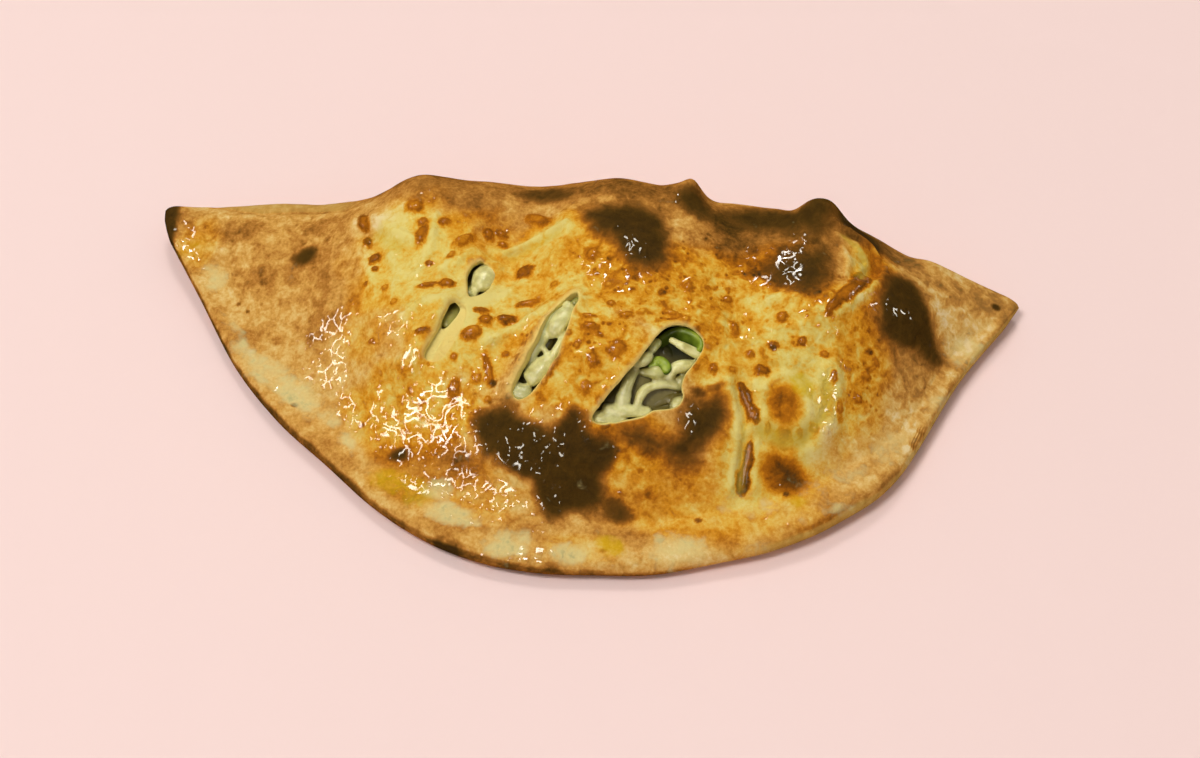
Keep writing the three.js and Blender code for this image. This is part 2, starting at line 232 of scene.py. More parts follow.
lip = {
    "radius": 0.5, "flare": 72, "ridge": 0.9, "ridgeAway": 1.0, "ridgeWidth": 2.0, "points": 160,
    "thickReach": 5.0, "sideRun": 3.0, "plugHeights": (9.0, 2.2), "arcSteps": 6, "wallSteps": 8,
    "floorShares": (0.25, 0.5, 0.72, 0.9), "deeper": 2.0, "floorEnds": 3.0, "window": 12.0, "farAway": 99.0,
}
hole = {"depths": (0.9, 1.8, 3.0, 6.0, 9.0), "lean": 1.25, "around": 48}
sight = (-0.09, 0.694)  # how far in x and y a thing 1 mm below the skin lies behind where it shows


def closedCurve(corners, count):
    # closed Catmull-Rom curve through the corners, the same number of points between each two
    p = np.asarray(corners, float)
    n = len(p)
    s = np.arange(count) / count * n
    i = s.astype(int)
    return catmullRom(p[(i - 1) % n], p[i % n], p[(i + 1) % n], p[(i + 2) % n], (s - i)[:, None])


def slashLine(slash):
    # near and far end of a slash, and the directions along it and across it to the right
    near, far = np.array(slash["mouth"][0], float), np.array(slash["mouth"][slash["far"]], float)
    along = (far - near) / np.linalg.norm(far - near)
    return near, far, along, np.array([along[1], -along[0]])


def throatOutline(slash):
    # the mouth drawn in towards its middle line, less along it than across, then moved
    near, far, along, right = slashLine(slash)
    middle = (near + far) / 2
    mouth = closedCurve(slash["mouth"], lip["points"]) - middle
    acrossShare, alongShare = slash["shrink"]
    drawn = np.outer(mouth @ along * alongShare, along) + np.outer(mouth @ right * acrossShare, right)
    return middle + drawn + slash["shift"]


mouths = {name: closedCurve(slash["mouth"], lip["points"]) for name, slash in slashes.items()}
throats = {name: throatOutline(slash) for name, slash in slashes.items()}


def insideOutline(x, y, outline):
    # even-odd rule: how many outline edges lie to the right of each point
    inside = np.zeros(np.shape(x), bool)
    for (ax, ay), (bx, by) in zip(outline, np.roll(outline, -1, 0)):
        crosses = (ay > y) != (by > y)
        reach = ax + (y - ay) / (by - ay if by != ay else 1e-9) * (bx - ax)
        inside ^= crosses & (x < reach)
    return inside


def outlineDistance(x, y, outline, step=3):
    # distance from an outline, negative inside
    points = outline[::step]
    nearest = lineDistance(x, y, np.vstack([points, points[:1]]))
    return np.where(insideOutline(x, y, outline), -nearest, nearest)


def slashDistances(x, y):
    # distance from each slash's mouth, and the side: 1 to the right of its line, 0 to the left
    found = {}
    for name, outline in mouths.items():
        away = np.full(np.shape(x), lip["farAway"])
        low, high = outline.min(0) - lip["window"], outline.max(0) + lip["window"]
        near = (x > low[0]) & (x < high[0]) & (y > low[1]) & (y < high[1])
        if near.any():
            away[near] = outlineDistance(x[near], y[near], outline)
        start, _, _, right = slashLine(slashes[name])
        across = (x - start[0]) * right[0] + (y - start[1]) * right[1]
        found[name] = away, smooth(0.5 + across / lip["sideRun"])
    return found


def slashDistance(x, y):
    # distance from the nearest slash
    return np.minimum.reduce([away for away, _ in slashDistances(x, y).values()])


# charred patches: the width over which each fades, how dark it gets, and its outline
charred = {
    "front": (3.4, 1.0, [
        (-25, -79.2), (-20.2, -77.6), (-12.6, -78.2), (-6.1, -81.8), (0, -84.3), (4, -81), (6.6, -78.6),
        (9.6, -81.4), (12.6, -83.4), (19.2, -84.2), (20.2, -87), (16.6, -91.2), (17.9, -95.6), (16, -99.6),
        (9.1, -101.8), (3, -103.4), (-1.2, -100.5), (-4.4, -97.3), (-10.8, -94.8), (-17, -91.6),
        (-22.6, -88), (-25, -83.5),
    ]),
    "middle": (5.5, 0.97, [
        (0, -11.5), (5.6, -8), (13, -6.3), (20, -7.7), (26.2, -9), (28.7, -17.6), (28.2, -26.7),
        (24.7, -30.3), (20.7, -31), (16.2, -27), (10.6, -22.5), (4.6, -19),
    ]),
    "crest": (6.5, 0.95, [
        (44, -3), (51, 3), (60, 5), (68, 2), (74, 7), (80, 3), (78, -7.9), (75, -11.2), (70, -9.1),
        (63.6, -6.9), (55.7, -6.3), (49, -6),
    ]),
    "glazed": (6.0, 0.84, [
        (60, -22), (63.4, -16.4), (70.7, -14), (78.5, -13), (82, -20.4), (79.4, -28), (73.8, -31.5),
        (68.2, -30.4), (63, -27),
    ]),
    "right": (4.6, 1.0, [
        (97.5, -15.5), (99.6, -10.5), (104.3, -9), (109, -9.6), (112.4, -12.3), (115.6, -18.3),
        (119.4, -24.4), (121.8, -28.9), (119, -31.8), (114.4, -32.6), (107, -33.6), (100.4, -34.8),
        (97, -30.6), (96.6, -23.2),
    ]),
    "lower": (5.5, 0.95, [
        (41.4, -71), (47.7, -68), (52.4, -69), (54, -72.5), (52.4, -77.2), (47.7, -82.1), (43.8, -85.7),
        (38, -86), (32.6, -84.5), (27.7, -84), (21, -83), (21.7, -80.9), (27.2, -80.4), (34.1, -80.6),
        (38.5, -79.2), (39.5, -75.5),
    ]),
}

# x, y, half axes, turn, and strength where it isn't 1
marks = {
    # small burnt spots
    "spots": [
        (22.5, -99.6, 4.8, 2.6, -12, 0.72), (-91, -19.6, 4.2, 3, 10, 0.85),
        (-48.2, -87.4, 3.4, 1.8, 0, 0.9), (-13, 0, 8, 4, 0, 0.75), (35.5, -1.5, 7, 4.5, -30, 0.85),
        (137, -4, 1.6, 1.1, 0, 1), (-19.6, -71.6, 1, 0.9, 0, 1), (-27.5, -115.5, 3.4, 2, 0, 0.55),
        (-31, -114, 2, 1.4, 0, 0.5), (48, -98.5, 1.2, 0.8, 0, 0.6), (74.2, -86.5, 0.9, 0.7, 0, 0.8),
        (65.6, -50.5, 0.8, 0.7, 0, 0.8), (-85.6, -70.4, 1.3, 0.9, 0, 0.8), (-112, -34, 0.9, 0.7, 0, 0.6),
        (-108, -37, 0.8, 0.6, 0, 0.6), (-52, -107, 5, 1.2, -25, 0.4), (114.6, -56.4, 1.4, 1.2, 0, 0.6),
        (112.7, -61.6, 1.6, 1.3, 0, 0.6), (113.5, -59, 1, 0.8, 0, 0.5), (-62, -78, 1.2, 0.8, 0, 0.5),
        (44.3, -67.8, 3, 1.3, 0, 0.7), (49, -65.6, 4, 0.9, 15, 0.55), (20, -112, 1.1, 0.8, 0, 0.4),
        (37, -106.5, 1.1, 0.8, 0, 0.5), (4, -118.5, 3, 1, 0, 0.4),
    ],
    # how much more, or less, each place is browned than plain tan dough
    "browning": [
        (-87, -19, 14, 8, 8, 0.1), (-79, -45, 8.5, 8, 0, 0.16), (-56, -90, 12, 6, -35, 0.08),
        (-45, -98, 10, 5, -15, 0.16), (36, -3, 6, 5, 0, 0.2), (-83, -8, 13, 5, 0, 0.2),
        (-118, -8, 15, 5, -4, 0.2), (-105, -25.7, 6, 5, 0, 0.14), (-82, -30, 9, 6, 0, 0.12),
        (-70, -38, 4, 9, 0, 0.12), (-105, -46, 10, 6, 20, 0.1), (-137, -6, 6, 6, 0, 0.15),
        (-60, 5, 26, 9, 0, 0.22), (-48, -5, 22, 7, 0, 0.16), (-30, -10, 16, 6, -10, 0.14),
        (-5, 3, 40, 9, 0, 0.24), (30, 0, 26, 10, 0, 0.2), (36, -20, 14, 8, -10, 0.12),
        (60, -12, 24, 14, -8, 0.25), (50, -14, 9, 8, 0, 0.2), (54, -24, 9, 6, -10, 0.14),
        (46, -6, 8, 6, 0, 0.2), (92, 6, 22, 9, -12, 0.44), (84, -2, 8, 6, 0, 0.15),
        (86, -12, 10, 9, 0, 0.1), (97, -12, 5, 8, 0, 0.4), (100, -34, 9, 6, -30, 0.2),
        (90, -1, 8, 7, 0, 0.44), (90, -86, 11, 5, 25, 0.12), (29, -31, 12, 6, 0, 0.08),
        (-24, -108, 12, 5, 0, 0.06), (-74, -88, 8, 6, -35, 0.06), (122, -3, 20, 5, -8, 0.2),
        (126, -18, 12, 6, -20, -0.1), (113, -38, 14, 7, 35, 0.12), (92, -44, 12, 9, 0, 0.1),
        (12, -30, 22, 8, -15, 0.12), (44, -88, 20, 6, -5, 0.1), (15, -84, 16, 5, 0, 0.15),
        (-37, -90.5, 16, 6, -8, 0.14), (-25, -93, 10, 5, -30, 0.12), (-50, -87, 9, 4, 0, 0.14),
        (-27, -110, 16, 4, -10, 0.1), (-2, -107, 12, 5, 0, 0.1), (30, -97, 14, 4, 8, 0.12),
        (28, -108, 9, 4, 0, 0.1), (58, -104, 6, 4, 10, 0.12), (71, -66.4, 6.4, 6, 0, 0.34),
        (72.6, -81.5, 8.5, 6, -10, 0.44), (74.7, -100, 10, 3, 15, 0.1), (89.7, -92.7, 7, 3, 25, 0.16),
        (106, -76, 10, 3, 48, 0.14), (116, -58, 3, 8, -20, 0.12), (-70, -87, 12, 5, -40, 0.1),
        (-93, -77, 14, 4, -42, 0.08), (-118, -40, 14, 4, -55, 0.08), (-13, -68, 12, 9, 0, 0.04),
        (5, -62, 10, 10, 0, 0.06), (26, -44, 22, 10, 0, 0.05), (50, -42, 10, 9, 0, 0.03),
        (69, -24, 16, 9, -10, 0.16), (20, -112, 14, 5, 0, -0.1), (17, -99, 9, 4, 0, 0.25),
        (130, -20, 8, 10, 0, -0.13), (100, -75, 16, 12, 30, -0.06), (-122, -30, 12, 8, -50, -0.05),
        (-55, -28, 15, 17, 10, -0.12), (-38, -44, 16, 14, 40, -0.11), (-24, -50, 12, 20, -28, -0.11),
        (26, -26, 12, 7, 0, 0.1), (38, -46, 14, 8, -20, 0.06), (70.7, -66.6, 5, 4.6, 0, 0.1),
        (-11, -22, 12, 7, 25, -0.14), (-3, -33, 8, 8, 0, -0.06), (75, -48, 18, 12, 0, -0.12),
        (76, -62, 16, 14, 0, -0.1), (58, -80, 9, 18, 0, -0.13), (132, -10, 9, 5, -15, -0.1),
        (45, -98, 16, 5, 0, -0.08), (44, -110, 14, 5, 4, -0.12), (78, -76, 12, 5, 0, -0.05),
        (93, -12, 9, 8, 0, -0.12), (66, -36, 10, 5, 10, -0.12), (-62, -14, 8, 8, 0, -0.1),
        (-34.6, -58, 5, 10, -28, -0.16), (-30, -46, 5, 6, 0, -0.14), (60, -90, 18, 6, 8, -0.06),
        (47, -49, 3, 3, 0, 0.1), (-64, 8, 18, 8, 0, 0.1),
    ],
    # cheese and oil through the dough: yellow to amber where it's strong
    "oily": [
        (-50, -32, 22, 24, 10, 0.9), (-28, -45, 24, 34, -28, 0.95), (2, -36, 24, 26, 0),
        (10, -64, 22, 20, 0), (32, -38, 30, 17, 0), (60, -48, 26, 22, 0), (82, -48, 20, 26, 0, 0.95),
        (68, -76, 22, 22, 0, 0.85), (44, -94, 36, 13, 0, 0.6), (-44, -76, 24, 14, -15, 0.75),
        (-24, -96, 28, 14, -10, 0.45), (80, -94, 22, 8, 15, 0.4), (94, -16, 9, 16, -10, 0.75),
        (-130, -12, 8, 9, 0, 0.5), (62, -24, 22, 11, 0, 0.9), (-10, -18, 14, 8, 25, 0.85),
        (14, -112, 18, 5, 0, 0.45), (-46, -97, 12, 6, -15, 0.5), (22, -84, 22, 8, 0, 0.8),
        (-64, -52, 10, 14, 0, 0.5),
    ],
    "flour": [
        (-122, -25, 5, 5, -30, 0.9), (-104, -54, 8, 4, -42, 0.9), (-96, -59, 9, 4.4, -42, 0.9),
        (-87, -65, 11, 5, -35), (-74, -74, 4.5, 3.4, -60, 0.7), (-65.5, -83, 4.5, 2.8, -35, 0.9),
        (-34.2, -97.8, 4.4, 3.4, 0, 0.8), (-29, -105.5, 11, 3.6, -12), (-11, -113.2, 9.5, 4.4, -6),
        (9, -113.6, 8, 4, 2, 0.9), (43, -108.6, 9, 4.6, 4, 0.9), (66, -104.2, 8, 2.8, 14, 0.5),
        (107, -64, 9, 6, 50, 0.6), (126, -24, 5, 9, -35, 0.6), (66, -91.5, 10, 4, 8, 0.6),
        (90, -82, 14, 7, 40, 0.45), (120, -44, 5, 7, -40, 0.5), (-112, -41, 6, 3, -50, 0.6),
        (92, -88, 6, 3, 20, 0.5), (-56, -93, 5, 2.4, -20, 0.4), (132, -14, 6, 6, 0, 0.4),
    ],
    "egg": [
        (-49, -95.5, 8, 4.6, -10, 0.85), (-41, -99, 6.5, 5, -20, 0.75), (21.7, -110, 6, 3.4, 0, 0.9),
        (78, -88.5, 4, 2.6, 10, 0.7), (76, -59.5, 4.4, 4, -40), (81.5, -62, 3, 5, 0, 0.5),
        (-132.5, -14.5, 5, 5, 0, 0.5), (90, -16, 2.6, 8, -20, 0.4), (-60, -24.5, 4.5, 2.6, -30, 0.35),
        (-11, -20, 6, 2.4, 20, 0.35), (72, -73, 8, 1.6, 5, 0.4), (-6, -56, 2, 10, -28, 0.3),
    ],
    # where the browning is mottled finely and strongly
    "speckled": [
        (22, -42, 32, 26, 0), (44, -28, 28, 15, -10, 0.9), (-2, -62, 14, 16, 0, 0.9),
        (76, -34, 14, 14, 0, 0.9), (94, -48, 8, 14, 0, 0.9), (-36, -74, 20, 9, -15, 0.7),
        (116, -28, 24, 30, -30, 0.45), (-106, -28, 36, 26, -10, 0.3), (16, -88, 26, 8, 0, 0.5),
        (62, -44, 14, 12, 0, 0.6),
    ],
    # where the oily film lies thick, in coarse wandering ridges
    "net": [
        (-39, -79, 12, 7, 0), (-50, -66, 6, 3.4, 30, 0.6), (-16, -94, 11, 4, -12, 0.7),
        (68, -20, 9, 6, -20, 0.7), (84, -61, 3, 9, 0, 0.7), (0, -116, 8, 2.6, 0, 0.8),
        (-44, -98, 6, 3, -20, 0.6),
    ],
    # where it lies thin, in short fine ridges and beads
    "wet": [
        (-56, -70, 14, 9, 20), (-66, -58, 12, 9, 20), (-30, -74, 10, 6, 0, 0.8),
        (-79, -45, 8.5, 8, 0, 1.35), (-77, -60, 11, 7, 20, 1.15), (-62, -66, 13, 8, 30, 1.1),
        (-44, -80, 17, 10, -8), (-25, -92, 18, 8, -25), (-6, -91, 16, 11, -10, 0.55),
        (6, -84, 10, 8, 0, 0.6), (-12, -104, 12, 6, -8), (-45, -97, 8, 4, -10), (-6, -116, 6, 3, 0),
        (56, -22, 16, 7, -15), (70, -26, 10, 7, 0), (50, -47, 8, 5, 0), (70, -50, 12, 5, 0),
        (-50, -34, 6, 12, 0, 0.8), (-52, -54, 9, 7, 0), (-128, -12, 10, 7, -30, 1.2),
        (104, -26, 6, 7, 0, 0.9), (4, -34, 9, 7, 0, 0.9), (25, -84, 9, 4, 0, 0.9), (22, -26, 7, 6, 0, 0.8),
        (-100, -44, 8, 6, 0, 0.6), (85, -56, 4, 10, 0, 0.9), (92, -52, 6, 6, 0, 0.8), (78, -36, 8, 5, -20),
        (24, -114, 8, 3, 0, 0.8), (45, -78, 7, 5, 0, 0.7), (-14, -56, 12, 8, 0, 0.6),
        (-25, -68, 8, 8, 0, 0.8), (12, -66, 10, 10, 0, 0.7), (30, -36, 16, 7, 0, 0.8),
        (68, -10, 8, 4, 0, 0.7), (91, -27, 6, 8, -30, 0.9), (18, -84, 12, 6, 0, 0.56), (84, -61, 5, 11, 0),
        (68, -20, 13, 8, -20),
    ],
}
# of each kind of mark: how soft and how ragged its edge is, the size of its raggedness, and its seed
markEdges = {
    "oily": (0.55, 0.35, 10, 59), "flour": (0.75, 0.6, 5, 61), "egg": (0.6, 0.3, 4, 67),
    "wet": (0.5, 0.5, 6, 71), "speckled": (0.5, 0.5, 8, 73), "net": (0.4, 0.4, 6, 77),
}

# small raised blisters: x, y, half axes, turn
blisters = [
    (-72, -12.6, 3.4, 1.7, -62), (-69, -20.7, 2.2, 1.3, -60), (-65.4, -28, 1.9, 1.8, 0),
    (-64.5, -32, 1.3, 1.1, 0), (-59.9, -39.7, 1.3, 1.1, 0), (-55.7, -46, 1.2, 1, 0),
    (-54.8, -11.5, 2.9, 2.1, -25), (-50.5, -21.6, 3.6, 1.7, 85), (-51, -17, 1.6, 1.3, 0),
    (-43.8, -16.6, 1.9, 1.6, 0), (-36.6, -23.6, 3.8, 1.8, 42), (-29.2, -18.7, 2.4, 1.6, -70),
    (-25.2, -17.6, 2, 1.2, -30), (-24.2, -21.4, 1.7, 1.2, -30), (-14.7, -11.3, 4, 2.2, -18),
    (-15.7, -31.4, 2.8, 2.2, 10), (-39, -40.7, 2.4, 1.9, 0), (-45, -41.3, 3.4, 1.1, 5),
    (-12.6, -44.8, 3.6, 1.4, 18), (-24.7, -53, 2.1, 2.1, 0), (-18.7, -51.7, 3.2, 1.7, 6),
    (-26.7, -49.2, 2.4, 1.2, 0), (-28.7, -57.7, 3, 2, 22), (-44.3, -58.2, 2.6, 0.9, 0),
    (-32.1, -72.8, 1.9, 2.3, 0), (-61.7, -56, 1.2, 0.8, 0), (-21.7, -68, 4.6, 1.2, -70),
    (-25.2, -70.2, 1.8, 1.4, 0), (17.7, -61.5, 2.5, 2.8, 0), (10.6, -65.8, 1.7, 1.8, 0),
    (8.6, -55.3, 2.7, 1.4, 0), (9.1, -72.6, 1.7, 1.7, 0), (-1.5, -68.6, 3.2, 1.1, 66),
    (-3.5, -72.4, 1, 1, 0), (7.6, -51.6, 2.4, 0.8, 0), (6, -27.6, 2, 2.2, 0), (12, -39, 1.4, 1.3, 0),
    (19, -49.8, 2.1, 1.1, 20), (-21.2, -76, 1.1, 1, 0), (-46.2, -32.3, 1.2, 1.1, 0),
    (-39.5, -29.4, 1.7, 0.9, 45), (47.7, -60.6, 1.3, 1.6, 0), (53.8, -60, 1.1, 1, 0),
    (42.4, -61.8, 0.8, 0.8, 0), (62.7, -58.2, 2.5, 1.5, 0), (52.9, -45.8, 1.4, 2.6, 25),
    (58.5, -53.6, 1.6, 1.4, 0), (49.6, -36.2, 1.5, 1.5, 0), (37, -34.6, 1.6, 1.7, 0),
    (33, -46, 2.6, 1.3, -5), (37.5, -47.7, 1.4, 1.2, 0), (42.9, -33.8, 1.1, 1, 0),
    (65.4, -49.6, 1.6, 1.4, 0), (67.2, -40.3, 1.9, 1.5, 0), (74.2, -46.2, 1.3, 1.3, 0),
    (81.5, -48.4, 1.4, 1.1, 0), (85.2, -54.8, 1.1, 1.8, 0), (95.5, -48.5, 1.6, 1.4, 0),
    (93.6, -55.8, 1.6, 1.2, 0), (80.7, -69.4, 1.4, 1.3, 0), (72.1, -73.4, 2, 1.2, 0),
    (66.3, -73.2, 0.8, 1.2, 0), (76.4, -72, 1, 0.8, 0), (95.9, -8.6, 1.8, 2.4, 0), (14, -46, 1.3, 1.2, 0),
    (24, -47.4, 1.6, 1, 15), (-5, -38, 1.3, 1.1, 0), (2, -58.5, 1.3, 1, 0), (5, -62, 1.1, 1, 0),
    (88, -62, 1.1, 2.2, 0), (98, -43, 1.2, 1.2, 0), (-33, -65, 1.1, 1, 0), (-14, -76, 1, 0.9, 0),
    (14, -76, 1.1, 1, 0), (-17, -63, 1.2, 1, 0), (29, -50.5, 1.2, 0.9, 0), (-30, -30, 1.1, 1, 0),
    (-67, -36.5, 1, 0.9, 0),
]
# long blisters: x, y and half width at each of their points
longBlisters = [
    [(56.9, -63.3, 1.2), (58.4, -65.4, 1.8), (60, -68, 1.3), (61.6, -70.2, 1.8), (62.4, -71.4, 1.2)],
    [(61.4, -77.4, 1.1), (61.5, -80, 1.6), (61, -83, 1.3), (60.4, -86, 2.1), (60.2, -87.4, 1.6)],
    [(92.2, -18.4, 2), (90.6, -21.8, 2.7), (88.8, -25.4, 2.1), (86.4, -29.4, 2.2), (84, -33, 1.6),
     (81.2, -37, 1.1)],
]
# wrinkles, painted paler along them, partly as paler dough and partly as highlight: their points, half width,
# height
wrinkles = [
    ([(-70, -11), (-66, -14.4), (-61, -19.6), (-53.6, -23)], 1.9, 0.7),
    ([(-75.5, -9), (-73, -18), (-69, -26), (-64, -36)], 2.4, 0.7),
    ([(-24, -25), (-18, -21.6), (-11, -17.6), (-4.6, -15.4)], 1.1, 0.7),
    ([(-3.4, -17), (-4.8, -24), (-8.1, -29.5)], 1.2, 0.35),
    ([(-23.2, -60), (-14.1, -54.2), (-5.6, -46.3)], 1.5, 0.8),
    ([(-51.5, -52), (-43.8, -47.3), (-38, -48.6)], 1.6, 0.8),
    ([(82, -7), (88, -7.5), (92.6, -11.5), (89.7, -19)], 1.2, 1.1),
    ([(86, -2), (94, -3.5), (98.6, -8), (97.4, -15)], 1.2, 1.1),
    ([(98.8, -12), (95, -22), (90, -30), (85, -36)], 1.3, 0.9),
    ([(84, -11), (86.5, -15), (86, -21)], 1.1, 0.8),
    ([(52.9, -64), (56.6, -71.5), (57.6, -78), (57, -88.5)], 1.5, 1.0),
    ([(60.6, -61.8), (64.6, -68), (67, -74)], 1.2, 0.9), ([(63.6, -76.4), (64.2, -87)], 1.3, 0.8),
    ([(62.2, -35.2), (65.8, -33.2), (71, -33)], 1.7, 0.8),
    ([(86.5, -53), (88.2, -60), (87, -67), (82, -73.5), (75, -77.5), (66, -78)], 1.8, 0.9),
    ([(63.5, -60), (70, -57.6), (77, -57.4)], 1.5, 0.5), ([(-62, -22), (-57, -34), (-56, -44)], 1.6, 0.5),
    ([(-47, -14), (-47, -26), (-50, -36)], 1.5, 0.6), ([(-33, -15), (-40, -28), (-42, -37)], 1.4, 0.5),
    ([(-24, -30), (-33, -26), (-38, -33)], 1.3, 0.5), ([(-58, -10), (-52.6, -15)], 1.3, 0.6),
    ([(66, -44), (74, -42), (80, -44)], 1.3, 0.5), ([(45, -66), (54, -63)], 1.2, 0.5),
    ([(-30, -48), (-20, -40), (-16, -35)], 1.5, 0.5),
]
ringRidge = {"middle": (71, -66.4), "across": (7.6, 7.8), "width": 0.22, "height": 0.8}
# grooves in the dough: their points, half width, depth
grooves = [
    ([(82.5, -55.5), (84, -61.5), (82.6, -67), (77.6, -72.4), (71, -74.6), (64.4, -73.4)], 1.6, 0.8),
    ([(84, -6.5), (89.8, -9), (92.2, -14), (90.5, -20)], 1.0, 0.7), ([(59, -73), (59.6, -88)], 1.2, 0.5),
    ([(-20, -25.5), (-13, -21.6), (-7, -18.6)], 1.5, 0.4), ([(-66, -19), (-58, -26)], 2.2, 0.4),
]
backCrease = [(-128, 4.4), (-123, 2.8), (-110.8, -0.6), (-95, 1.0), (-81, -0.4)]
skinSteps = {"length": 364, "top": 196, "bottom": 12, "evenLength": 0.85, "evenTop": 0.7, "evenBottom": 0.4}
reliefs = {
    "blister": 1.1, "blisterFoot": 0.3, "longSize": 1.4, "wrinkle": 1.7, "crumpled": 0.7, "lumps": 0.9,
    "lumpSize": 22.0, "skin": 0.35, "skinSize": 7.0, "crease": 1.0, "creaseWidth": 1.4, "flour": 0.35,
}


def blisterLevel(x, y):
    # 1 in the middle of a blister, 0 on its edge, below 0 outside; and its size, 1 from 2 mm up
    level, size = np.full_like(x, -3.0), np.zeros_like(x)
    for cx, cy, along, across, turn in blisters:
        here = 1 - ellipseShare(x, y, cx, cy, along, across, turn) ** 2
        size = np.where(here > level, min(1.0, np.sqrt(along * across) / 2), size)
        level = np.maximum(level, here)
    for points in longBlisters:
        for (ax, ay, aw), (bx, by, bw) in zip(points, points[1:]):
            away, t = lineShare(x, y, ax, ay, bx, by)
            here = 1 - (away / (aw + (bw - aw) * t)) ** 2
            size = np.where(here > level, reliefs["longSize"], size)
            level = np.maximum(level, here)
    return level, size


def wrinkleLevel(x, y):
    # height of the pale wrinkles, and of the round ridge, both stronger and weaker along their way
    ring = ellipseShare(x, y, *ringRidge["middle"], *ringRidge["across"], 0) - 1
    ringHeight = ringRidge["height"] * np.exp(-(ring / ringRidge["width"]) ** 2)
    return np.maximum(ridges(x, y, wrinkles), ringHeight) * (1 + 0.35 * fractal(x, y, 7, 91, 2))


def crumpled(x, y):
    # soft little folds along the middle values of a noise, only where the dough is thin and oily
    fold = np.exp(-(fractal(x, y, 14, 93, 2) / 0.16) ** 2)
    return fold * patches(x, y, marks["oily"], 0.5)


def fineRelief(x, y):
    # blisters with a groove round them, wrinkles, raised lips along the slashes, and noise in three sizes
    level, size = blisterLevel(x, y)
    foot = np.exp(-((level + 0.9) / 0.6) ** 2)
    blister = reliefs["blister"] * np.clip(level + 0.15, 0, 1) ** 0.75 - reliefs["blisterFoot"] * foot
    relief = np.minimum(size, 1) * blister
    relief = relief + reliefs["wrinkle"] * (wrinkleLevel(x, y) - ridges(x, y, grooves))
    relief = relief + reliefs["crumpled"] * crumpled(x, y)
    for name, (away, right) in slashDistances(x, y).items():
        height = lip["ridge"] * (1 + (slashes[name]["ridgeRight"] - 1) * right)
        beside = (np.maximum(away, 0) - lip["ridgeAway"]) / lip["ridgeWidth"]
        relief = relief + height * np.exp(-beside ** 2)
    relief = relief - ridges(x, y, [(backCrease, reliefs["creaseWidth"], reliefs["crease"])])
    relief = relief + reliefs["lumps"] * fractal(x, y, reliefs["lumpSize"], 11, 3)
    relief = relief + reliefs["skin"] * fractal(x, y, reliefs["skinSize"], 21, 2)
    return relief - reliefs["flour"] * patches(x, y, marks["flour"], 0.35, 0.3, 5, 7)


def softRelief(x, y):
    # the swells and pleats that the solid has too
    height = mounds(x, y, dough["swells"])
    for ax, ay, bx, by, width, high in dough["pleats"]:
        height += ridges(x, y, [([(ax, ay), (bx, by)], width, high)])
    return height


def rimHeights(x, y):
    # height of the underside, and of the top without its relief: a round edge, a rim that rises a little, and
    # a dome that rises as a power of a sine
    front, back, rim, crest, lift = sectionAt(x)
    width = np.maximum(back - front, 1e-6)
    half = np.maximum(rim / 2, 1e-6)
    edge = half * quarterRound((y - front) / half)
    under = lift + half - edge
    flat = np.minimum(dough["rimWidth"], dough["narrowRim"] * width)
    run = np.minimum(dough["domeRun"], dough["narrowDome"] * (width - flat))
    rise = np.sin(np.pi / 2 * np.clip((y - front - flat) / run, 0, 1)) ** dough["domePower"]
    share = rise + dough["rimSlope"] * np.clip((y - front) / flat, 0, 1) * (1 - rise)
    top = lift + half + edge + (crest - rim) * share
    return under, top


def crustHeights(x, y, fine=True):
    # heights of the underside and the top, both rounded towards the fold's rearmost line
    front, back, rim, crest, lift = sectionAt(x)
    width = np.maximum(back - front, 1e-6)
    under, top = rimHeights(x, y)
    raised = top - lift - rim
    top = top + softRelief(x, y) * np.clip(raised / dough["swellFade"], 0, 1)
    middle = lift + dough["foldMiddle"] * crest
    reach = np.minimum(dough["foldRoundTop"], dough["narrowFold"] * width)
    reachUnder = np.minimum(dough["foldRoundBottom"], dough["narrowFold"] * width)
    top = middle + (top - middle) * quarterRound((back - y) / reach)
    under = middle + (under - middle) * quarterRound((back - y) / reachUnder)
    if fine:
        top = top + mounds(x, y, dough["knobs"]) * smooth((back - y) / dough["knobFade"])
        inside = smooth(np.minimum(y - front, (back - y) * 1.5) / dough["reliefFade"])
        top = top + fineRelief(x, y) * inside
    return under, top


def spread(share, even):
    # moves points closer to both ends of the run, as even falls from 1 to 0
    return even * share + (1 - even) * (1 - np.cos(np.pi * share)) / 2


def aroundSection(steps):
    # places round a section, 0 at its front and 1 at its back: over the top, and back below
    over = spread(np.linspace(0, 1, steps["top"] + 1), steps["evenTop"])
    below = spread(np.linspace(1, 0, steps["bottom"] + 1)[1:-1], steps["evenBottom"])
    return np.concatenate([over, below])


def alongSections(steps):
    # places from the left end to the right one, -1 to 1, without the ends
    return spread(np.linspace(0, 1, steps["length"] + 1)[1:-1], steps["evenLength"]) * 2 - 1


def ringGrid(rows, ring):
    # quads of a closed tube of rings, and triangles from its first and last ring to a pole each
    i, j = np.meshgrid(np.arange(rows - 1), np.arange(ring), indexing="ij")
    k = (j + 1) % ring
    quads = np.stack([i * ring + j, (i + 1) * ring + j, (i + 1) * ring + k, i * ring + k], -1).reshape(-1, 4)
    a = np.arange(ring)
    b = (a + 1) % ring
    first, last = rows * ring, rows * ring + 1
    start = np.stack([np.full(ring, first), a, b], -1)
    end = np.stack([np.full(ring, last), (rows - 1) * ring + b, (rows - 1) * ring + a], -1)
    return quads, np.vstack([start, end])


foldLine = (max(dough["seam"]) - max(dough["fold"])) / 2  # the frame's origin is below the box's middle


def place(points):
    # mm in fold coordinates to metres in the frame
    return (np.asarray(points, float) + [0, foldLine, 0]) * 0.001


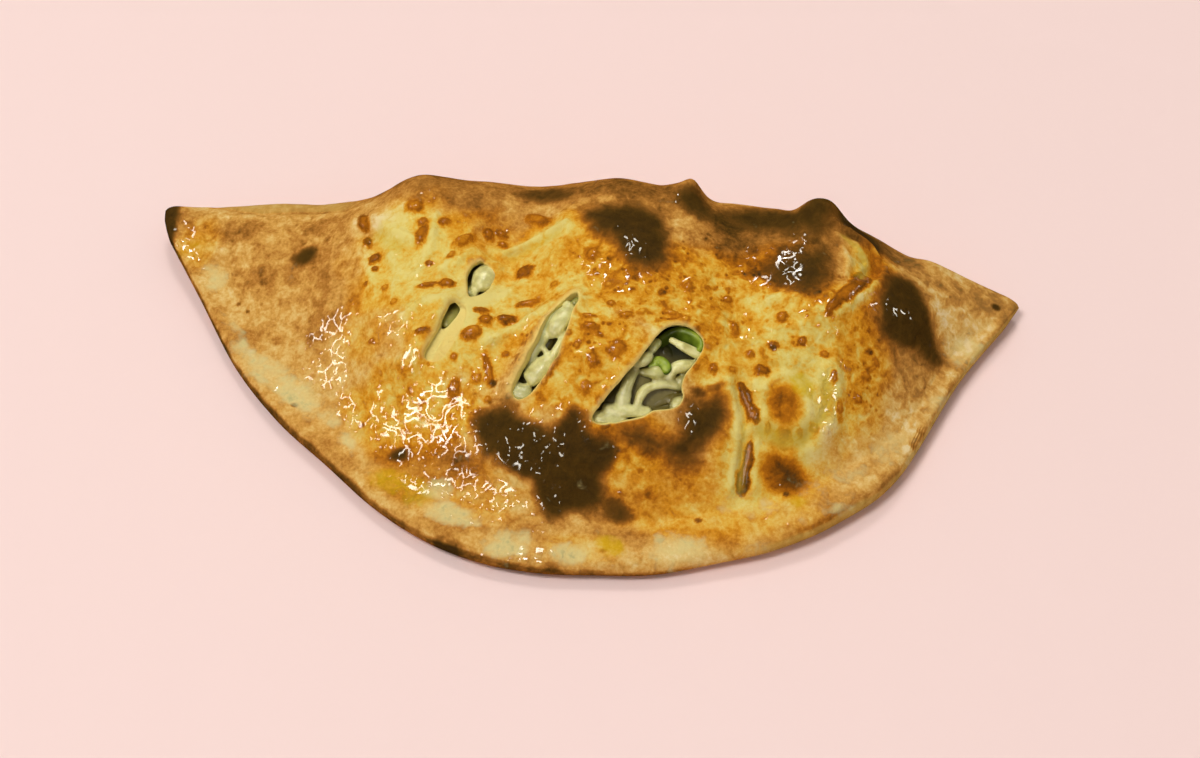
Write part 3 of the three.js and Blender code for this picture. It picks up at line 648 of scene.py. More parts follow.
def makeMesh(name, points, quads, tris):
    # one mesh from arrays, with its faces pointing out: its volume, summed over corner triangles, is positive
    points = place(points)
    corners = [np.asarray(f, np.int32) for f in (quads, tris)]
    solid = np.vstack([f[:, [0, k, k + 1]] for f in corners for k in range(1, f.shape[1] - 1)])
    a, b, c = (points[solid[:, k]] for k in range(3))
    if np.einsum("ij,ij->i", a, np.cross(b, c)).sum() < 0:
        corners = [f[:, ::-1] for f in corners]
    loops = np.concatenate([f.ravel() for f in corners])
    totals = np.concatenate([np.full(len(f), f.shape[1]) for f in corners])
    mesh = bpy.data.meshes.new(name)
    mesh.vertices.add(len(points))
    mesh.vertices.foreach_set("co", points.astype(np.float32).ravel())
    mesh.loops.add(len(loops))
    mesh.loops.foreach_set("vertex_index", loops)
    mesh.polygons.add(len(totals))
    mesh.polygons.foreach_set("loop_start", np.concatenate([[0], np.cumsum(totals)[:-1]]))
    mesh.polygons.foreach_set("loop_total", totals)
    mesh.update(calc_edges=True)
    mesh.shade_smooth()
    piece = bpy.data.objects.new(name, mesh)
    bpy.context.scene.collection.objects.link(piece)
    return piece


def ringedPiece(name, rings, poles):
    # a closed piece from rings of points and its two poles
    rows, ring, _ = rings.shape
    quads, tris = ringGrid(rows, ring)
    return makeMesh(name, np.vstack([rings.reshape(-1, 3), poles]), quads, tris)


def crustSkin():
    # rows of sections from horn to horn: over the top from front to back, and back below, with the front and
    # back edges halfway between the two heights
    x = dough["halfLength"] * alongSections(skinSteps)
    share = aroundSection(skinSteps)
    front, back, *_ = sectionAt(x)
    gridX = np.broadcast_to(x[:, None], (len(x), len(share))).copy()
    gridY = front[:, None] + (back - front)[:, None] * share
    under, top = crustHeights(gridX, gridY)
    gridZ = np.where(np.arange(len(share)) <= skinSteps["top"], top, under)
    gridZ[:, 0] = np.mean(crustHeights(x, front), axis=0)
    gridZ[:, skinSteps["top"]] = np.mean(crustHeights(x, back), axis=0)
    ends = dough["halfLength"] * np.array([-1, 1.0])
    tips = np.stack([ends, 0 * ends, crustHeights(ends, 0 * ends)[0]], 1)
    return ringedPiece("crustSkin", np.stack([gridX, gridY, gridZ], -1), tips)


hollow = {
    "half": 108.0, "middle": 10.0, "endPower": 6, "least": 3.5, "fillingGap": 0.7, "fillingLeast": 1.0,
    "wedge": 3.0, "length": 170, "top": 90, "bottom": 10, "evenLength": 0.85, "evenTop": 0.7,
    "evenBottom": 0.5,
}


def wallAt(x, y):
    # the dough's thickness: even, and each slash's own thickness near it
    wall = dough["wall"] + 0 * x
    for name, (away, _) in slashDistances(x, y).items():
        wall = wall + (slashes[name]["thick"] - dough["wall"]) * (1 - smooth(away / lip["thickReach"]))
    return wall


def hollowEdges(x, inset):
    # front and back edge of the space under the dough at x, and the height that its back is rounded to
    front, back, _, crest, _ = sectionAt(x)
    front = front + dough["rimWidth"] + dough["sealWidth"] + hollow["wedge"] * inset
    low = np.maximum(dough["floor"] + hollow["least"] / 2, dough["foldMiddle"] * crest)
    return front, back - dough["wall"] - inset, low


def hollowPiece(name, inset, lowered):
    # the space under the dough, smaller by inset, its roof lowered by a function of place, and both ends
    # drawn together by a blunt power curve
    u = alongSections(hollow)
    x = (hollow["half"] - inset) * u
    share = aroundSection(hollow)
    front, back, low = (part[:, None] for part in hollowEdges(x, inset))
    gridX = np.broadcast_to(x[:, None], (len(x), len(share))).copy()
    gridY = front + (back - front) * share
    under = dough["floor"] + inset
    roof = crustHeights(gridX, gridY, False)[1] - wallAt(gridX, gridY)
    roof = np.maximum(roof, dough["floor"] + hollow["least"]) - inset - lowered(gridX, gridY)
    roof = np.maximum(roof, under + hollow["fillingLeast"])
    isTop = np.arange(len(share)) <= hollow["top"]
    arch = quarterRound((gridY - front) / dough["sealWidth"])
    raised = np.where(isTop, under + (roof - under) * arch, under)
    reach = np.where(isTop, dough["foldRoundTop"], dough["foldRoundBottom"])
    gridZ = low + (raised - low) * quarterRound((back - gridY) / reach)
    closing = np.sqrt(1 - u ** hollow["endPower"])[:, None]
    middle = (front + back) / 2
    gridY = middle + (gridY - middle) * closing
    gridZ = hollow["middle"] + (gridZ - hollow["middle"]) * closing
    ends = (hollow["half"] - inset) * np.array([-1, 1.0])
    endFront, endBack, _ = hollowEdges(ends, inset)
    tips = np.stack([ends, (endFront + endBack) / 2, np.full(2, hollow["middle"])], 1)
    return ringedPiece(name, np.stack([gridX, gridY, gridZ], -1), tips)


def belowSkin(spots, down):
    # points at x, y and a depth below the skin there
    return np.column_stack([spots, crustHeights(spots[:, 0], spots[:, 1])[1] - down])


def holeCutter(corners):
    # a plug through the dough, from just under the skin down into the hollow, leaning back so that its far
    # side stays out of sight
    outline = closedCurve(corners, hole["around"])
    top = crustHeights(outline[:, 0], outline[:, 1])[1]
    rings = []
    for down in hole["depths"]:
        spots = outline + np.array(sight) * (down - hole["depths"][0]) * hole["lean"]
        rings.append(np.column_stack([spots, top - down]))
    rings = np.array(rings)
    return ringedPiece("slashHole", rings, rings[[0, -1]].mean(1))


def slashCutter(name):
    # a plug that narrows from the mouth to the throat: its rim leaves a rounded lip on the dough, wider on
    # the slash's right side where that is soft, and its side leaves the cut face
    mouth, throat, slash = mouths[name], throats[name], slashes[name]
    step = np.roll(mouth, -1, 0) - np.roll(mouth, 1, 0)
    outward = np.stack([step[:, 1], -step[:, 0]], 1) / np.linalg.norm(step, axis=1)[:, None]
    near, far, along, right = slashLine(slash)
    across = (mouth - near) @ right
    radius = lip["radius"] + (slash["softRight"] - lip["radius"]) * smooth(across / lip["sideRun"])

    def floorDepth(spots):
        # through the dough, or down to the floor, which rises to the right
        if "floor" not in slash:
            return np.full(len(spots), dough["wall"] + lip["deeper"])
        floor = slash["floor"]
        share = np.clip((across.max() - (spots - near) @ right) / (across.max() - across.min()), 0, 1)
        return floor["right"] + (floor["left"] - floor["right"]) * share ** floor["power"]

    bottom = floorDepth(throat)
    radius = np.minimum(radius, 0.8 * bottom)
    flare = np.radians(lip["flare"])
    rings = []
    for lifted in lip["plugHeights"]:
        out = radius * (1 - np.cos(flare)) + lip["plugHeights"][-1] * np.sin(flare)
        rings.append(belowSkin(mouth + outward * out[:, None], radius * (1 - np.sin(flare)) - lifted))
    for angle in np.linspace(flare, 0, lip["arcSteps"]):
        out = radius * (1 - np.cos(angle))
        rings.append(belowSkin(mouth + outward * out[:, None], radius * (1 - np.sin(angle))))
    for share in np.linspace(0, 1, lip["wallSteps"])[1:]:
        rings.append(belowSkin(mouth + (throat - mouth) * share, radius + (bottom - radius) * share))
    if "floor" in slash:
        length = np.linalg.norm(far - near)
        reach = np.clip((throat - near) @ along, lip["floorEnds"], length - lip["floorEnds"])
        spine = near + np.outer(reach, along) + outward.mean(0) + right * (across.max() + across.min()) / 2
        for share in lip["floorShares"]:
            spots = throat + (spine - throat) * share
            rings.append(belowSkin(spots, floorDepth(spots)))
    centre = rings[-1][:, :2].mean(0)[None]
    lowest = belowSkin(centre, floorDepth(centre))[0]
    return ringedPiece("slash" + name, np.array(rings), [rings[0].mean(0), lowest])


def applyModifiers(piece):
    # leaves the piece with the mesh that its modifiers give
    bpy.context.view_layer.update()
    done = bpy.data.meshes.new_from_object(piece.evaluated_get(bpy.context.evaluated_depsgraph_get()))
    piece.modifiers.clear()
    piece.data = done


def cut(piece, tools):
    # takes the tools' volumes out of the piece, and removes the tools
    for tool in tools:
        change = piece.modifiers.new(tool.name, "BOOLEAN")
        change.operation = "DIFFERENCE"
        change.solver = "MANIFOLD"
        change.object = tool
    applyModifiers(piece)
    for tool in tools:
        bpy.data.objects.remove(tool)


def pointsOf(piece):
    # a piece's vertices, back in mm and fold coordinates
    co = np.empty(len(piece.data.vertices) * 3, np.float32)
    piece.data.vertices.foreach_get("co", co)
    return co.reshape(-1, 3).astype(float) * 1000 - [0, foldLine, 0]


def paint(piece, name, values):
    # one number for each vertex, which the material reads by name
    layer = piece.data.attributes.new(name, "FLOAT", "POINT")
    layer.data.foreach_set("value", np.asarray(values, np.float32))


def claim(piece, *nodes, slot):
    # the piece rests with the object and stands for the nodes
    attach(piece, "root")
    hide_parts(*nodes)


char = {"ragged": 2.2, "raggedSize": 9, "window": (45, 35), "tipFrom": -136.8, "tipRun": 4.2}
marking = {
    "plain": 0.28, "clouds": 0.07, "cloudSize": 24, "wrinklePaleAndHighlight": 0.18,
    "below": 0.36, "belowRings": 0.16, "ringSize": 15, "ringWidth": 0.3,
    "cutNear": 4.0, "cutRun": 0.8, "softRun": 1.6, "softNear": 3.0, "rightPale": 0.6,
    "crumbShadeFrom": 1.6, "crumbShadeRun": 3.6, "creaseWidth": 1.5,
}


def charLevel(x, y):
    # 1 deep inside a charred patch, 0.5 at its outline, 0 outside, times how dark it gets; 1 at the left tip
    total = patches(x, y, marks["spots"], 0.6, 0.2, 4, 45)
    ragged = char["ragged"] * fractal(x, y, char["raggedSize"], 43, 3)
    wide, deep = char["window"]
    for fade, dark, outline in charred.values():
        curve = closedCurve(outline, 4 * len(outline))
        near = (np.abs(x - curve[:, 0].mean()) < wide) & (np.abs(y - curve[:, 1].mean()) < deep)
        away = outlineDistance(x[near], y[near], curve, 1) + ragged[near]
        total[near] = np.maximum(total[near], dark * smooth(0.5 - away / (2 * fade)))
    return np.maximum(total, smooth((char["tipFrom"] - x) / char["tipRun"]))


def rimLevels(x, y, z):
    # the seam's foot, darker towards the table, partly browning and partly painted shade on its underside;
    # and on the right its paler side under a dark line, by the share of the rim's height that z has reached
    front, _, rim, _, lift = sectionAt(x)
    share = (z - lift) / np.maximum(rim, 1e-3) + 0.1 * fractal(x, y, 6, 47, 3)
    outer = smooth((5.0 - (y - front)) / 1.5)
    reach = 0.9 + 0.08 * np.exp(-((x + 60) / 50) ** 4) - 0.25 * smooth((x - 10) / 30)
    rightSide = smooth((x - 60) / 20)
    return {
        "edgeLow": smooth((reach - share) / 0.16) * outer * (1 - 0.75 * smooth((x - 30) / 30)),
        "sideFace": rightSide * outer * smooth((0.86 - share) / 0.1),
        "sideLine": rightSide * outer * np.exp(-((share - 0.88) / 0.08) ** 2),
    }


def slashLevels(x, y, z, under, depth):
    # bare crumb on the cut faces and inside the hollow, and the pale edge along each slash
    found = slashDistances(x, y)
    away = np.minimum.reduce([beside for beside, _ in found.values()])
    soft, pale = np.zeros_like(x), np.zeros_like(x)
    for name, (beside, right) in found.items():
        width = slashes[name]["pale"] * (1 - marking["rightPale"] * right)
        pale = np.maximum(pale, np.exp(-(np.maximum(beside, 0) / width) ** 2))
        soft = np.maximum(soft, (beside < marking["softNear"]) * ("floor" in slashes[name]))
    cutFace = smooth((depth - 0.05) / (marking["cutRun"] + marking["softRun"] * soft))
    cutFace = cutFace * (z > under + 1.5) * (away < marking["cutNear"])
    inner = (depth > 1.4) & (z > under + 2.0) & (y - sectionAt(x)[0] > dough["rimWidth"])
    return np.maximum(cutFace, inner), pale


def paintCrust(piece):
    # the oven's marks by place, with painted shade and highlight among them, the slashes, the rim and the
    # underside, where the top's marks stop
    x, y, z = pointsOf(piece).T
    under, top = crustHeights(x, y)
    depth = top - z
    crumb, pale = slashLevels(x, y, z, under, depth)
    blister, size = blisterLevel(x, y)
    browning = marking["plain"] + mounds(x, y, marks["browning"], 1.1, 4)
    browning += marking["clouds"] * fractal(x, y, marking["cloudSize"], 51, 4)
    # lighter along the wrinkles: partly paler dough, partly a painted highlight on their crests
    browning -= marking["wrinklePaleAndHighlight"] * np.clip(wrinkleLevel(x, y), 0, 1.2)
    onTop = {name: patches(x, y, marks[name], *edge) for name, edge in markEdges.items()}
    onTop.update(browning=browning, char=charLevel(x, y), groove=ridges(x, y, grooves), crumb=crumb,
                 lipEdge=pale, blister=np.clip(blister, -2, 1))
    below = smooth((1.2 - (z - under)) / 1.2) * smooth((depth - 1.0) / 2)
    layers = {name: level * (1 - below) for name, level in onTop.items()}
    rings = np.exp(-(fractal(x, y, marking["ringSize"], 57, 3) / marking["ringWidth"]) ** 2)
    layers["browning"] += (marking["below"] + marking["belowRings"] * rings) * below
    layers["net"] -= below
    layers["blister"] -= 2 * below
    layers["under"] = below
    layers.update(rimLevels(x, y, z))
    tone = 0.46 + 0.2 * size + 0.1 * fractal(x, y, 8, 97, 2)
    layers["blisterTone"] = tone - 0.1 * patches(x, y, marks["speckled"], 0.5)
    # painted shade: the cut faces and the hollow are darker the deeper they lie below the skin
    layers["deep"] = smooth((depth - marking["crumbShadeFrom"]) / marking["crumbShadeRun"]) * (z > under + 0.5)
    behind = smooth(y - np.interp(x, *np.array(backCrease).T))
    layers["backStrip"] = behind * smooth((-76 - x) / 8) * smooth((x + 130) / 6)
    # painted shade along the back crease
    layers["crease"] = ridges(x, y, [(backCrease, marking["creaseWidth"], 1.0)])
    layers["rightEnd"] = smooth((x - 88) / 30) * (1 - patches(x, y, marks["oily"], 0.5))
    for name, level in layers.items():
        paint(piece, name, level)
    return list(layers)


def linear(r, g, b):
    # a colour as the eye names it, 0 to 255, to the linear values that a shader wants
    c = np.array([r, g, b]) / 255.0
    return (*np.where(c <= 0.04045, c / 12.92, ((c + 0.055) / 1.055) ** 2.4).tolist(), 1.0)


class Value:
    # a socket that takes part in arithmetic: each operator adds its Math node
    def __init__(self, finish, socket):
        self.finish, self.socket = finish, socket

    def join(self, operation, *inputs):
        return self.finish.node("Math", {"operation": operation}, *inputs)

    def __add__(self, other):
        return self.join("ADD", self, other)

    def __mul__(self, other):
        return self.join("MULTIPLY", self, other)

    def __sub__(self, other):
        return self.join("SUBTRACT", self, other)

    def __rsub__(self, other):
        return self.join("SUBTRACT", other, self)

    def __abs__(self):
        return self.join("ABSOLUTE", self)

    __radd__, __rmul__ = __add__, __mul__

    def least(self, other):
        return self.join("MINIMUM", self, other)

    def most(self, other):
        return self.join("MAXIMUM", self, other)

    def step(self, low, high):
        # 0 at low and below, 1 at high and above, smooth between
        settings = {"interpolation_type": "SMOOTHSTEP", "clamp": True}
        return self.finish.node("MapRange", settings, Value=self, From_Min=low, From_Max=high)


class Finish:
    # a material whose nodes are added by type, settings and the values or links of their sockets
    def __init__(self, name):
        self.material = bpy.data.materials.new(name)
        self.material.use_nodes = True
        self.tree = self.material.node_tree
        self.shader = self.tree.nodes["Principled BSDF"]
        self.place = self.node("TexCoord", {}, output="Object")

    def node(self, kind, settings, *inputs, output=0, **named):
        # a socket is named with _ for each space, or comes by its place
        made = self.tree.nodes.new("ShaderNode" + kind)
        for key, value in settings.items():
            if key == "stops":
                self.setStops(made.color_ramp, value)
            else:
                setattr(made, key, value)
        for key, value in [*enumerate(inputs), *named.items()]:
            self.feed(made.inputs[key if isinstance(key, int) else key.replace("_", " ")], value)
        return Value(self, made.outputs[output])

    def setStops(self, ramp, stops):
        # the first two stops of a ramp are there already
        for _ in stops[2:]:
            ramp.elements.new(0.5)
        for element, (at, color) in zip(ramp.elements, stops):
            element.position, element.color = at, color

    def feed(self, socket, value):
        # links a value, or sets a number, colour or vector
        if isinstance(value, Value):
            self.tree.links.new(value.socket, socket)
        else:
            socket.default_value = value

    def read(self, name):
        # a number that was painted on the vertices
        return self.node("Attribute", {"attribute_name": name}, output="Fac")

    def noise(self, scale, detail=3.0, roughness=0.5, distortion=0.0):
        # noise from 0 to 1, its features about 1/scale metres wide
        return self.node("TexNoise", {}, Vector=self.place, Scale=scale, Detail=detail, Roughness=roughness,
                         Distortion=distortion)

    def cells(self, scale):
        # distance from the middle of the nearest cell, and a number from 0 to 1 that each cell draws
        away = self.node("TexVoronoi", {}, Vector=self.place, Scale=scale, output="Distance")
        return away, self.node("SeparateColor", {}, Value(self, away.socket.node.outputs["Color"]))

    def walls(self, scale, bend, reach):
        # distance from the nearest wall between cells, in cells, its place bent by a noise
        shift = self.node("TexNoise", {}, output="Color", Vector=self.place, Scale=bend, Detail=1.0)
        settings = {"operation": "MULTIPLY_ADD"}
        moved = self.node("VectorMath", settings, shift, (reach, reach, reach), self.place)
        settings = {"feature": "DISTANCE_TO_EDGE", "voronoi_dimensions": "2D"}
        return self.node("TexVoronoi", settings, Vector=moved, Scale=scale)

    def mix(self, share, first, second):
        # the first colour where share is 0, the second where it is 1
        made = self.tree.nodes.new("ShaderNodeMix")
        made.data_type = "RGBA"
        made.clamp_factor = True
        for index, value in ((0, share), (6, first), (7, second)):
            self.feed(made.inputs[index], value)
        return Value(self, made.outputs[2])

    def bump(self, height, distance, under=None):
        # a normal bent by a height in metres, on top of another one
        inputs = {"Height": height, "Distance": distance, "Strength": 1.0}
        if under:
            inputs["Normal"] = under
        return self.node("Bump", {}, **inputs)

    def surface(self, **sockets):
        # feeds the shader's sockets and gives the finished material
        for name, value in sockets.items():
            self.feed(self.shader.inputs[name.replace("_", " ")], value)
        return self.material


# from pale dough to soot: plain dough, and dough soaked with cheese and oil
bakes = {
    "dry": [
        (0.0, linear(236, 212, 158)), (0.15, linear(226, 188, 112)), (0.3, linear(212, 158, 76)),
        (0.45, linear(184, 124, 52)), (0.6, linear(148, 96, 38)), (0.75, linear(110, 72, 26)),
        (0.9, linear(80, 56, 19)), (1.0, linear(62, 44, 16)),
    ],
    "oily": [
        (0.0, linear(228, 208, 122)), (0.12, linear(225, 196, 98)), (0.24, linear(224, 172, 62)),
        (0.36, linear(214, 143, 32)), (0.5, linear(184, 110, 22)), (0.62, linear(152, 88, 18)),
        (0.76, linear(110, 66, 18)), (0.9, linear(78, 53, 22)), (1.0, linear(60, 44, 22)),
    ],
}
tones = {
    "flour": linear(222, 206, 140), "ash": linear(164, 158, 104), "egg": linear(212, 176, 14),
    "crumb": linear(232, 212, 128), "paleLip": linear(232, 204, 118), "backStrip": linear(186, 148, 74),
    "bran": linear(200, 152, 80), "crumbShade": linear(150, 134, 66), "side": linear(180, 152, 76),
    "groove": linear(200, 170, 58),
}
skinFinish = {
    # each noise: features to a metre, detail, roughness, distortion
    "broad": (45, 3, 0.55), "blotch": (130, 3, 0.55, 0.4), "mottle": (310, 2, 0.5, 0.5),
    "grain": (1000, 3, 0.6), "ripple": (150, 1, 0.5), "flicker": (620, 1, 0.5),
    "freckles": ((240.0, 0.22), (560.0, 0.2)),  # to a metre, and how dark in speckled dough
    "dashes": (300.0, 240.0, 0.005), "beads": 460.0,
    "roughness": 0.6, "smoother": 0.18, "coatRoughness": 0.08, "coatIor": 1.65,
    "skinBump": 0.0005, "rippleBump": 0.0013, "filmBump": 0.0001,
}


def bakeLevel(f, mark, noises):
    # how far the dough is baked, from 0, pale, to 1, soot, with painted shade and highlight added in places;
    # with where it is blistered and burnt. Noises come less 0.5 each
    broad, blotch, mottle, grain = noises
    speckled = mark["speckled"]
    level = mark["browning"] + broad * 0.25 + blotch * (speckled * 0.2 + 0.42)
    level = level + mark["rightEnd"] * (broad * 0.7 + mottle * 0.4)
    level = level + mottle * (speckled * 0.3 + 0.38) + grain * (0.38 - mark["oily"] * 0.1)
    # round freckles, each of its own size, thickest in the amber dough
    for scale, strong in skinFinish["freckles"]:
        away, chance = f.cells(scale)
        spot = ((chance - 0.35) * 0.75 - away + mottle * 0.4).step(-0.1, 0.25)
        level = level + spot * blotch.step(-0.15, 0.1) * (speckled * strong + 0.05)
    # blisters: brown, lighter towards the middle as painted highlight on the dome, through amber at their
    # foot
    edge = mark["blister"] + mottle * 1.9 + grain * 0.7
    blister = edge.step(-1.1, 0.75)
    level = level + edge.step(-2.4, -0.4) * 0.08
    top = mark["blisterTone"] + broad * 0.7 + 0.05 - edge.step(0.3, 1.0) * 0.16 + grain * 0.36
    level = level * (1 - blister) + top * blister
    # char: warm brown at its edges, then nearly black
    gate = (mark["char"] * 5.0).least(1.0)
    charEdge = mark["char"] + (blotch * 0.36 + mottle * 0.2) * gate
    burnt = charEdge.step(0.06, 0.86)
    inside = 0.79 + charEdge.step(0.5, 1.05) * 0.17 + mottle * 0.16 + grain * 0.1
    level = (level + charEdge.step(0.0, 0.5) * 0.12) * (1 - burnt) + inside * burnt
    # the seam's foot darker, partly browning and partly painted shade; the dark line on the right side
    level = level + mark["edgeLow"] * (0.42 + blotch * 0.5) + mark["sideLine"] * (blotch + 0.3) * 0.45
    # painted shade: darker along the back crease
    return level + mark["crease"] * 0.12, blister, burnt


def doughColor(f, mark, noises):
    # the two bakes by how oily the dough is, then what lies on it, one coat after another
    broad, blotch, mottle, grain = noises
    level, blister, burnt = bakeLevel(f, mark, noises)
    dry, oily = (f.node("ValToRGB", {"stops": bakes[name]}, level) for name in ("dry", "oily"))
    soaked = (mark["oily"] + blister * 0.7 + blotch * 0.5).step(0.15, 0.75)
    color = f.mix(soaked * (1 - burnt * 0.7), dry, oily)
    flour = mark["flour"] + blotch * 1.6 + mottle
    egg = mark["egg"] + mottle * 1.1 + blotch * 0.8
    coats = [
        (mark["rightEnd"] * (0.225 + broad * 0.35) * (1 - burnt), tones["bran"]),
        (mark["sideFace"] * (0.55 + blotch * 0.5), tones["side"]),
        # the grooves yellow-olive: partly the dough's own tone, partly painted shade in them
        (mark["groove"] * 0.9, tones["groove"]),
        (flour.step(0.3, 1.1) * 0.8, tones["flour"]),
        ((flour + grain * 0.6).step(0.95, 1.4) * 0.5, tones["ash"]),
        (egg.step(0.3, 1.1) * 0.6, tones["egg"]),
        (mark["lipEdge"] * 0.75, tones["paleLip"]),
        # bare crumb, olive with painted shade where it lies deep
        (mark["crumb"], f.mix(mark["deep"] * 0.55, tones["crumb"], tones["crumbShade"])),
        (mark["backStrip"] * (1 - mark["under"]) * (0.55 + mottle * 0.5), tones["backStrip"]),
    ]
    for share, tone in coats:
        color = f.mix(share, color, tone)
    return color


def oilyFilm(f, mark, ripple, blotch):
    # a coarse net of rounded ridges where the film lies thick, short fine ridges and beads elsewhere: its
    # height, and how much each place shines. The dough between them is dull
    wet = mark["wet"]
    flicker = f.noise(*skinFinish["flicker"])
    fine = f.walls(*skinFinish["dashes"])
    away, chance = f.cells(skinFinish["beads"])
    loops = (0.03 - abs(ripple - 0.42)).most(0.03 - abs(ripple - 0.55))
    net = loops.step(0.0, 0.018) * (mark["net"] + blotch * 0.9).step(0.35, 0.47)
    strewn = (wet * 0.66 + (flicker - 0.5) * 2.4 + blotch * 0.7).step(0.5, 0.66)
    dashes = (0.1 - fine).step(0.0, 0.07) * strewn
    beads = ((chance - 0.5) * 0.5 - away).step(-0.02, 0.1) * (wet + blotch).step(0.3, 0.6)
    film = net.most(dashes * 0.5).most(beads * 0.5)
    shine = net.most(dashes * 0.8).most(beads * 0.8).most(mark["blister"].step(0.4, 0.9) * 0.12)
    return film, shine * (1 - mark["crumb"]) * (1 - mark["under"])


def bakedDough(names):
    # dull dough under a film of oil that alone shines
    f = Finish("bakedDough")
    mark = {name: f.read(name) for name in names}
    plain = {name: f.noise(*skinFinish[name]) for name in ("broad", "blotch", "mottle", "grain", "ripple")}
    noises = [plain[name] - 0.5 for name in ("broad", "blotch", "mottle", "grain")]
    film, shine = oilyFilm(f, mark, plain["ripple"], noises[1])
    normal = f.bump(plain["grain"] * 0.5 + plain["mottle"], skinFinish["skinBump"])
    normal = f.bump(plain["ripple"] * mark["wet"], skinFinish["rippleBump"], normal)
    normal = f.bump(film, skinFinish["filmBump"], normal)
    roughness = skinFinish["roughness"] - mark["oily"] * skinFinish["smoother"]
    return f.surface(Base_Color=doughColor(f, mark, noises), Roughness=roughness, Normal=normal,
                     Coat_Weight=shine, Specular_IOR_Level=0.0, Coat_Roughness=skinFinish["coatRoughness"],
                     Coat_IOR=skinFinish["coatIor"])


def dressCrust():
    # the skin less its hollow and its slashes
    skin = crustSkin()
    tools = [hollowPiece("hollow", 0.0, lambda x, y: 0 * x)]
    tools += [slashCutter(name) for name in slashes]
    tools += [holeCutter(corners) for slash in slashes.values() for corners in slash.get("holes", [])]
    cut(skin, tools)
    skin.name = skin.data.name = "bakedCrust"
    names = paintCrust(skin)
    skin.data.materials.clear()
    skin.data.materials.append(bakedDough(names))
    skin.data.shade_smooth()
    claim(skin, "crust", slot="crust")
    print("crust:", len(skin.data.vertices), "vertices,", len(skin.data.polygons), "faces")


dressCrust()

filling = {
    "airClosed": 1.5, "airOpen": 4.4, "reach": 9.0, "lumps": 0.5, "fatness": 1.28, "voxel": 0.42,
    "smoothing": 5, "around": 20, "along": 70, "waver": 0.12, "waverSize": 2.6,
    # dark: where the painted shade in the filling's hollows is darkest; shadeTones: that painted shade, olive
    # to near black
    "dark": [(35, -50, 8, 9, 40, 1), (14, -70, 7, 3.5, 60, 0.8)],  # where its hollows are darkest
    "shadeTones": (linear(116, 102, 44), linear(34, 36, 12)),
    "strandTones": {"light": linear(228, 221, 150), "deep": linear(192, 182, 108),
                    "glassy": linear(164, 164, 116), "green": linear(150, 150, 58), "roughness": 0.35},
    "coreTones": {"light": linear(196, 180, 104), "deep": linear(160, 142, 72),
                  "glassy": linear(130, 130, 90), "green": linear(110, 112, 40), "roughness": 0.5},
}

